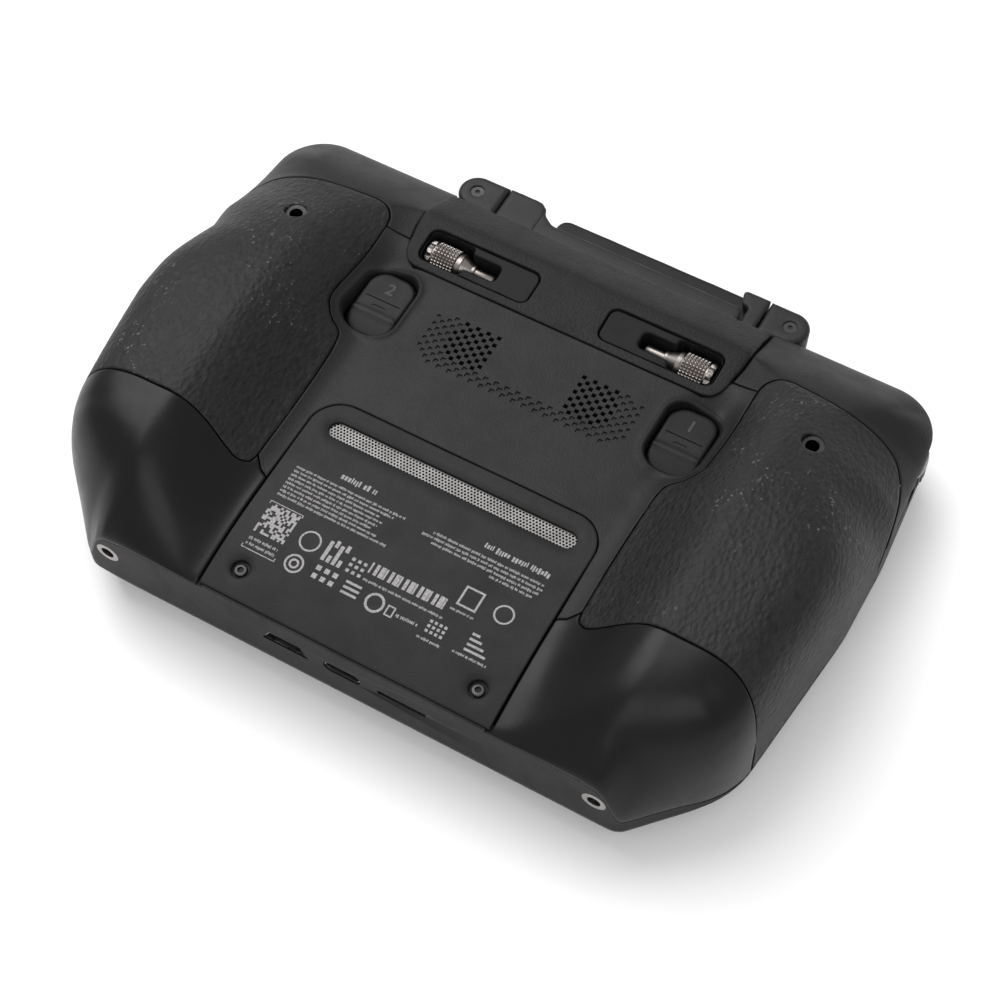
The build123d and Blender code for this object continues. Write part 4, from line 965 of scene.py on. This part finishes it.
well_size = BUTTON_W + 2 * WELL_GAP, BUTTON_H + 2 * WELL_GAP
middle_holes = [
    (rounded_box(side * BUTTON_X, BUTTON_Y, *well_size, WELL_R), 3.4, False, 0.5) for side in SIDES.values()
]
middle_holes += [(square(x, y, size), 2.0 if is_open else 0.4, not is_open, 0.0)
                 for x, y, size, is_open in intake_squares()]
plan_shell(
    "middle_skin", middle_plan, middle_height, "housing", "center_plastic", ["rear_center_shell"],
    middle_holes, lip=0.35, rings=(0.12, 0.3, 0.45, 0.6, 0.8, 1.1),
)
# painted shade: a near-black sheet under the open intake squares
shade_sheet("intake_shade", rounded_box(INTAKE_MID, 14.0, 56, 20, 3), BACK_Z - 2.1)

# ---- label plate, exhaust mesh and print ----

mesh_low, mesh_high = box_mm("exhaust_mesh")
SLOT_Y = (mesh_low.y + mesh_high.y) / 2
SLOT_W, SLOT_H = mesh_high.x - mesh_low.x + 0.4, mesh_high.y - mesh_low.y + 0.4
screw_low, screw_high = box_mm("label_screws")
SCREW_R = 1.75
SCREW_X, SCREW_Y = screw_high.x - (screw_high.y - screw_low.y) / 2, (screw_low.y + screw_high.y) / 2


def label_height(x, y):
    """The label plate: dished a little along the exhaust slot and round the screws."""
    beside = np.maximum(np.abs(x) - (SLOT_W - SLOT_H) / 2, 0)
    slot_gap = np.hypot(beside, y - SLOT_Y) - SLOT_H / 2
    dish = 0.42 * (1 - smoothstep(slot_gap / 1.7))
    screw_gap = np.hypot(np.abs(x) - SCREW_X, y - SCREW_Y) - SCREW_R
    dish += 0.5 * (1 - smoothstep(screw_gap / 1.5))
    return panel_height(y) - dish


label_holes = [(rounded_box(0, SLOT_Y, SLOT_W, SLOT_H, SLOT_H / 2 - 0.01), 1.2, False, 0.3)]
label_holes += [
    (circle(side * SCREW_X, SCREW_Y, SCREW_R + 0.35, 24), 0.9, True, 0.25) for side in SIDES.values()
]
plan_shell(
    "label_skin", label_outline, label_height, "housing", "label_film", ["label_plate"], label_holes, lip=0.3,
)


MESH_Z = BACK_Z - 1.15
MESH_PITCH, MESH_HOLE = 0.84, 0.27


def perforated_sheet(name, x_half, y_half):
    """The exhaust mesh: hexagonal cells, each with a hexagonal hole."""
    verts, faces = [], []
    row_pitch = MESH_PITCH * 0.866
    rings = ((MESH_PITCH / math.sqrt(3), 0.0), (MESH_HOLE * 1.1, 0.0), (MESH_HOLE, 0.06), (MESH_HOLE, 0.35))
    for row in range(int(2 * y_half / row_pitch) + 1):
        for col in range(int(2 * x_half / MESH_PITCH) + 1):
            cx = -x_half + MESH_PITCH * (col + 0.5 * (row % 2))
            cy = SLOT_Y - y_half + row_pitch * row
            first = len(verts)
            for radius, drop in rings:
                for k in range(6):
                    a = math.radians(30 + 60 * k)
                    verts.append((cx + radius * math.cos(a), cy + radius * math.sin(a), MESH_Z - drop))
            faces += [[first + k for k in face] for face in tube_faces(len(rings), 6, False)]
    mesh_piece(name, verts, faces, "housing", "mesh_steel", ["exhaust_mesh"], sharp=30)


perforated_sheet("exhaust_grille", SLOT_W / 2 + 0.6, SLOT_H / 2 + 0.5)
# painted shade: a near-black sheet under the exhaust mesh
shade_sheet("exhaust_shade", rounded_box(0, SLOT_Y, SLOT_W + 2, SLOT_H + 2, 1.5), MESH_Z - 0.7)

for side_name, side in SIDES.items():
    plan_shell(
        "label_screw_head_" + side_name, circle(side * SCREW_X, SCREW_Y, SCREW_R, 28),
        flat_height(float(panel_height(SCREW_Y)) - 0.95), "housing", "screw_steel", ["label_screws"],
        [(circle(side * SCREW_X, SCREW_Y, 0.85, 6), 0.7, True, 0.0)], spacing=0.5, edge=0.35, lip=0.4,
        depth=0.9, rings=(0.06, 0.15, 0.26, 0.38),
    )

PRINT_LIFT = 0.03
print_verts, print_faces = [], []


def stroke_quad(points):
    """One flat printed patch on the label."""
    first = len(print_verts)
    for x, y in points:
        print_verts.append((x, y, float(label_height(x, y)) + PRINT_LIFT))
    print_faces.append(list(range(first, first + len(points))))


def bar(x0, y0, x1, y1):
    stroke_quad([(x0, y0), (x1, y0), (x1, y1), (x0, y1)])


def ring_mark(cx, cy, radius, width, steps=28):
    for k in range(steps):
        a0, a1 = 2 * math.pi * k / steps, 2 * math.pi * (k + 1) / steps
        corners = [(radius - width, a0), (radius, a0), (radius, a1), (radius - width, a1)]
        stroke_quad([(cx + r * math.cos(a), cy + r * math.sin(a)) for r, a in corners])


def frame_mark(x0, y0, x1, y1, width):
    bar(x0, y0, x1, y0 + width)
    bar(x0, y1 - width, x1, y1)
    bar(x0, y0 + width, x0 + width, y1 - width)
    bar(x1 - width, y0 + width, x1, y1 - width)


def square_grid(x0, y0, columns, rows, pitch, size):
    """Plain squares in rows and columns, from the lower left one."""
    for column in range(columns):
        for row in range(rows):
            bar(x0 + pitch * column, y0 + pitch * row, x0 + pitch * column + size, y0 + pitch * row + size)


def greeked_line(rng, x0, x1, y, height):
    """Small type that isn't lettering: rows of short upright strokes grouped like words."""
    x = x0
    while x < x1:
        letters = rng.randint(2, 9)
        for _ in range(letters):
            low = y - height * rng.choice((0.5, 0.5, 0.5, 0.72))
            high = y + height * rng.choice((0.28, 0.28, 0.5))
            width = height * rng.choice((0.22, 0.3, 0.42))
            bar(x, low, min(x + width, x1), high)
            x += width + height * 0.17
            if x > x1:
                return
        x += height * 0.42


def print_label():
    """Generic markings, laid out like a rating plate, with no wording."""
    rng = random.Random(7)
    # plain name bars
    greeked_line(rng, -22.4, -13.2, -30.7, 1.5)
    greeked_line(rng, 14.8, 31.4, -30.6, 1.3)
    # two blocks of small type
    for k, end in enumerate((-4.2, -6.5, -9.5, -8.0, -8.6, -9.6, -7.6, -4.4)):
        greeked_line(rng, -32.7, end, -33.5 - 1.16 * k, 0.62)
    for k, (start, end) in enumerate(((3.2, 31.2), (1.0, 31.4), (4.0, 31.0), (19.5, 30.4))):
        greeked_line(rng, start, end, -33.4 - 1.25 * k, 0.66)
    # a block of random dots in a frame
    frame_mark(-33.0, -56.7, -24.3, -43.8, 0.22)
    cell, fill = 0.56, 0.52
    for row in range(14):
        for col in range(14):
            if rng.random() < fill:
                x, y = -32.55 + cell * col, -44.9 - cell * row
                bar(x, y, x + cell, y + cell)
    greeked_line(rng, -32.4, -25.0, -53.9, 0.7)
    greeked_line(rng, -32.4, -25.0, -55.3, 0.7)
    # plain shapes: rings, frames, squares and bars
    for cx, cy, radius, width in (
        (-19.7, -48.6, 2.6, 0.45), (-20.1, -54.9, 2.3, 0.5), (-20.1, -54.9, 1.2, 0.5),
        (0.6, -54.7, 2.35, 0.6), (27.0, -43.9, 2.4, 0.45),
    ):
        ring_mark(cx, cy, radius, width)
    for k in range(4):
        bar(-15.6 + 1.35 * k, -51.3, -14.7 + 1.35 * k, -46.2 + 0.7 * (k % 2))
    for k in range(16):
        x = -4.6 + 1.24 * k
        bar(x, -49.2, x + 0.45 + 0.35 * (k % 3), -46.4)
    for k in range(3):
        bar(-7.6, -56.0 + 1.3 * k, -3.6, -55.4 + 1.3 * k)
    for k in range(4):
        bar(23.2, -55.2 + 1.3 * k, 28.4 - 1.1 * k, -54.6 + 1.3 * k)
    square_grid(-9.2, -51.2, 3, 3, 1.5, 0.8)
    square_grid(-15.2, -55.9, 3, 2, 2.1, 1.2)
    square_grid(13.5, -55.4, 4, 3, 1.2, 0.7)
    frame_mark(3.6, -56.2, 5.6, -53.6, 0.35)
    frame_mark(16.4, -46.6, 21.2, -41.4, 0.5)
    # captions under them
    for x0, x1, y, height in (
        (-4.6, 15.6, -50.9, 0.6), (6.2, 11.6, -54.9, 0.8), (12.6, 18.6, -57.0, 0.6), (15.8, 21.6, -47.9, 0.6),
        (21.2, 29.6, -56.4, 0.6),
    ):
        greeked_line(rng, x0, x1, y, height)
    mesh_piece("label_print", print_verts, print_faces, "housing", "label_film", material="ink")


print_label()

# ---- custom buttons ----


def cap_height(x, y):
    """Custom button caps: flat where the thumb finds them, falling away below a ridge."""
    v = (y - BUTTON_Y) / (BUTTON_H / 2)
    ridge = 0.28 * np.exp(-(((v + 0.34) / 0.07) ** 2))
    below = 1.7 * np.clip((-0.36 - v) / 0.64, 0, 1) ** 1.2
    return BUTTON_Z + 0.1 + ridge - below - 0.35 * np.clip(v - 0.2, 0, 1)


NUMBER_SIZE = 4.6


def numeral(name, text, x, y, body):
    """A flat number on a button cap."""
    curve = bpy.data.curves.new(name, "FONT")
    curve.body = text
    curve.size = NUMBER_SIZE
    curve.align_x, curve.align_y = "CENTER", "CENTER"
    curve.offset = 0.06
    written = bpy.data.objects.new(name, curve)
    bpy.context.scene.collection.objects.link(written)
    bpy.context.view_layer.update()
    mesh = bpy.data.meshes.new_from_object(written.evaluated_get(bpy.context.evaluated_depsgraph_get()))
    bpy.data.objects.remove(written)
    for vertex in mesh.vertices:
        px, py = vertex.co.x + x, vertex.co.y + y
        vertex.co = Vector((px, py, float(cap_height(px, py)) + PRINT_LIFT)) * MM
    ride_piece(name, mesh, body, "button_plastic", material="button_ink")


for side_name, side in SIDES.items():
    cx = side * BUTTON_X
    body = "custom_key_" + side_name
    groove = rounded_box(cx, BUTTON_Y + 1.0, BUTTON_W - 3.0, 0.34, 0.16)
    mark = rounded_box(cx, BUTTON_Y - 1.1, 3.6, 0.9, 0.44)
    plan_shell(
        "button_cap_" + side_name, rounded_box(cx, BUTTON_Y, BUTTON_W, BUTTON_H, WELL_R - 0.3), cap_height,
        body, "button_plastic", ["custom_button_" + side_name],
        [(groove, 0.25, True, 0.0), (mark, 0.2, True, 0.0)], spacing=0.7, edge=0.4, lip=0.8, depth=2.2,
        rings=(0.08, 0.2, 0.36, 0.6),
    )
    numeral("button_number_" + side_name, "1" if side > 0 else "2", cx, BUTTON_Y + 4.6, body)

# ---- stowed stick heads ----

stick_low, stick_high = box_mm("stick_right")
STICK_Y, STICK_Z = (stick_low.y + stick_high.y) / 2, (stick_low.z + stick_high.z) / 2
STICK_R = (stick_high.y - stick_low.y) / 2
STICK_OUT = stick_high.x
STICK_LENGTH, PIN_R = 17.9, 1.3
KNURLS, KNURL_PITCH = 26, 0.86
# where each part of the stick ends, from its outer end
CROWN_END, NECK_END, KNURL_END, GROOVE_END = 1.5, 1.9, 7.9, 8.3
COLLAR_END, CONE_END, STEP_END = 9.3, 12.0, 12.7


def saw(t):
    """A triangle wave between 0 and 1, with period 1."""
    return abs((t % 1.0) - 0.5) * 2


def stick_radius(along, angle):
    """Radius of a thumbstick at a distance from its outer end."""
    turn = angle / (2 * math.pi)
    if along < CROWN_END:                              # crown teeth
        return STICK_R * (0.88 + 0.12 * saw(turn * 12) * min(along / 0.5, 1.0))
    if along < NECK_END:
        return STICK_R * 0.88
    if along < KNURL_END:                              # square knurl
        u, v = turn * KNURLS, (along - NECK_END) / KNURL_PITCH
        return STICK_R * (0.905 + 0.095 * min(1.0, 1.9 * min(1 - saw(u), 1 - saw(v))))
    if along < GROOVE_END:
        return STICK_R * 0.8
    if along < COLLAR_END:
        return STICK_R * 0.88
    if along < CONE_END:
        return STICK_R * (0.8 - 0.3 * (along - COLLAR_END) / (CONE_END - COLLAR_END))
    return STICK_R * 0.52 if along < STEP_END else PIN_R


stations = [0.0, 0.12, 0.4, 0.9, 1.45, 1.5, 1.88]
stations += [NECK_END + 5.98 * k / 56 for k in range(57)]
stations += [7.92, 8.28, 8.32, 9.0, 9.28, 9.35, 10.6, 11.98, 12.02, 12.68, 12.72]
stations += [STICK_LENGTH - 0.4, STICK_LENGTH]
around = KNURLS * 6
angles = [2 * math.pi * k / around for k in range(around)]

for side_name, side in SIDES.items():
    rings = [
        (along, [stick_radius(along, a) - (0.3 if along in (0.0, STICK_LENGTH) else 0) for a in angles])
        for along in stations
    ]
    rings.append((0.9, [STICK_R * 0.6] * around))      # the dish in the outer end
    verts = [
        (side * (STICK_OUT - along), STICK_Y + r * math.cos(a), STICK_Z + r * math.sin(a))
        for along, radii in rings for a, r in zip(angles, radii)
    ]
    faces = tube_faces(len(stations), around, side > 0)
    inner, last = len(stations) * around, (len(stations) - 1) * around
    faces += [[inner + k, inner + (k + 1) % around, (k + 1) % around, k] for k in range(around)]
    faces.append([inner + k for k in range(around)][::-1])
    faces.append([last + k for k in range(around)])
    mesh_piece(
        "stick_head_" + side_name, verts, faces, "stowed_stick_" + side_name, "stick_alloy",
        ["stick_" + side_name], sharp=38,
    )

# ---- stick bay cover and liners ----

liner_low, liner_high = box_mm("stick_liner_right")
SLOT_MID_X, STICK_SLOT_W = (liner_low.x + liner_high.x) / 2, liner_high.x - liner_low.x
STICK_SLOT_Y, STICK_SLOT_H = (liner_low.y + liner_high.y) / 2, liner_high.y - liner_low.y
bay_profile = np.array([
    (BAY_Y, 32.15), (33.0, 32.5), (38.0, 32.95), (41.0, 33.2), (42.6, 33.35), (43.8, 33.2), (45.2, 32.55),
    (47.0, 31.6), (50.0, 29.9), (53.0, 28.0), (56.4, 25.8),
])


def bay_height(x, y):
    """The bay cover rises to a soft crease and then slopes down to the antenna edge."""
    level = sum(np.interp(y + d, bay_profile[:, 0], bay_profile[:, 1]) for d in (-0.7, 0, 0.7)) / 3
    side = np.clip((44.2 - np.abs(x)) / 2.2, 0, 1)
    return level - 0.7 * (1 - np.sqrt(1 - (1 - side) ** 2))


bay_right = [(38.4, BAY_Y), (40.6, 28.9), (42.1, 30.6), (43.0, 32.8), *bay_side[1:]]
bay_right = [tuple(p) for p in smooth_line(bay_right, 60)]
bay_plan = bay_right + [(-x, y) for x, y in reversed(bay_right)]
bay_holes = [
    (rounded_box(side * SLOT_MID_X, STICK_SLOT_Y, STICK_SLOT_W, STICK_SLOT_H, 2.4), 1.6, False, 0.3)
    for side in SIDES.values()
]
plan_shell(
    "bay_skin", bay_plan, bay_height, "housing", "bay_plastic", ["bay_cover"], bay_holes, lip=0.4, depth=3.2,
)
CHAMBER_IN, CHAMBER_OUT = 27.6, SLOT_MID_X + STICK_SLOT_W / 2 - 0.55
CHANNEL_IN, CHANNEL_HALF = 19.2, 2.3


def liner_height(x, y):
    return bay_height(x, y) - 0.35


half_h = STICK_SLOT_H / 2 - 0.5
pocket_lower = [
    (CHANNEL_IN, -CHANNEL_HALF), (CHAMBER_IN, -CHANNEL_HALF), (CHAMBER_IN, -half_h), (CHAMBER_OUT, -half_h),
]
pocket_upper = [(x, -y) for x, y in reversed(pocket_lower)]
pocket_radii = [1.2, 0.6, 1.0, 2.0]
pocket_plan = [(x, STICK_SLOT_Y + y) for x, y in pocket_lower + pocket_upper]
pocket = rounded(pocket_plan, pocket_radii + pocket_radii[::-1], 0.4)
liner_plan = rounded_box(SLOT_MID_X, STICK_SLOT_Y, STICK_SLOT_W - 0.5, STICK_SLOT_H - 0.5, 2.2)
for side_name, side in SIDES.items():
    plan_shell(
        "slot_liner_" + side_name, liner_plan, liner_height, "housing", "liner_silicone",
        ["stick_liner_" + side_name], [(pocket, 7.4, True, 0.55)], lip=0.3, depth=1.2, mirrored=side < 0,
        spacing=1.0,
    )

# ---- antennas ----

screws_low, screws_high = box_mm("antenna_screws")
ANTENNA_R = 5.0
SEAM_REACH = 7.1         # from a hinge to the seam between its knob and the blade
LAYER_Z = 17.45          # between the two blades' layers
ANTENNA_TOP = {"left": box_mm("antenna_base_left")[1].z, "right": box_mm("antenna_base_right")[1].z}
screw_half = (screws_high.y - screws_low.y) / 2
hinge = {"left": screws_low.x + screw_half, "right": screws_high.x - screw_half}
HINGE_Y = (screws_low.y + screws_high.y) / 2
ANTENNA_FRONT = box_mm("antenna_base_left")[0].z


def antenna_piece(name, points, top, bottom, side_name, replaces=(), holes=(), lip=0.9, material=None):
    plan_shell(
        name, points, flat_height(top), "antenna_" + side_name, "antenna_plastic", replaces, holes,
        spacing=1.4, lip=lip, depth=top - bottom - lip * 0.8, rings=(0.04, 0.11, 0.2, 0.32, 0.45),
        closed=True, material=material,
    )


for side_name, outward in SIDES.items():
    cx = hinge[side_name]
    seam = cx - outward * SEAM_REACH
    knob = [(seam, HINGE_Y - ANTENNA_R), (cx, HINGE_Y - ANTENNA_R)]
    for degrees in range(8, 180, 8):
        a = math.radians(degrees)
        knob.append((cx + outward * ANTENNA_R * math.sin(a), HINGE_Y - ANTENNA_R * math.cos(a)))
    knob += [(cx, HINGE_Y + ANTENNA_R), (seam, HINGE_Y + ANTENNA_R)]
    antenna_piece(
        "antenna_knob_" + side_name, knob, ANTENNA_TOP[side_name], ANTENNA_FRONT, side_name,
        ["antenna_base_" + side_name], [(circle(cx, HINGE_Y, 1.75, 24), 0.5, True, 0.3)], 1.3,
    )
left_seam, right_seam = hinge["left"] + SEAM_REACH, hinge["right"] - SEAM_REACH
NEAR_Y, FAR_Y, SPLIT_Y = HINGE_Y - ANTENNA_R, HINGE_Y + ANTENNA_R, 63.3
ROOT_X, TIP_X, ARM_X = -22.6, 33.6, -19.6
root = [
    (left_seam + 0.1, NEAR_Y), (ROOT_X, NEAR_Y), (ROOT_X, FAR_Y - 4.0), (ROOT_X - 0.6, FAR_Y - 1.6),
    (ROOT_X - 2.2, FAR_Y - 0.3), (ROOT_X - 4.0, FAR_Y), (left_seam + 0.1, FAR_Y),
]
antenna_piece("antenna_root_left", root, ANTENNA_TOP["left"], ANTENNA_FRONT, "left", ["antenna_blade_left"])
blade = rounded([
    (ROOT_X - 1.5, NEAR_Y), (TIP_X, NEAR_Y), (TIP_X, SPLIT_Y), (ROOT_X + 3.0, SPLIT_Y),
    (ROOT_X + 0.6, SPLIT_Y + 1.6), (ROOT_X - 1.5, SPLIT_Y + 3.6),
], [0, 1.2, 2.2, 2.0, 2.0, 0], 0.4)
antenna_piece("antenna_strip_left", blade, ANTENNA_TOP["left"] - 0.12, LAYER_Z + 0.2, "left", lip=0.7)
arm = rounded([
    (ARM_X, NEAR_Y), (right_seam - 0.1, NEAR_Y), (right_seam - 0.1, FAR_Y), (ARM_X, FAR_Y),
], [1.5, 0, 0, 3.0], 0.5)
# the lower layer takes the darker antenna plastic: painted shade for the slot under the left blade
antenna_piece(
    "antenna_arm_right", arm, LAYER_Z, ANTENNA_FRONT, "right", ["antenna_blade_right"], lip=0.7,
    material="antenna_painted_shade",
)
block = rounded([
    (TIP_X + 0.7, NEAR_Y), (right_seam - 0.1, NEAR_Y), (right_seam - 0.1, FAR_Y), (31.0, FAR_Y),
    (32.2, SPLIT_Y + 1.0), (TIP_X + 0.7, SPLIT_Y + 0.6),
], [0.5, 0, 0, 1.0, 0.9, 0.7], 0.4)
antenna_piece("antenna_shoulder_right", block, ANTENNA_TOP["right"], LAYER_Z - 0.4, "right", lip=0.8)
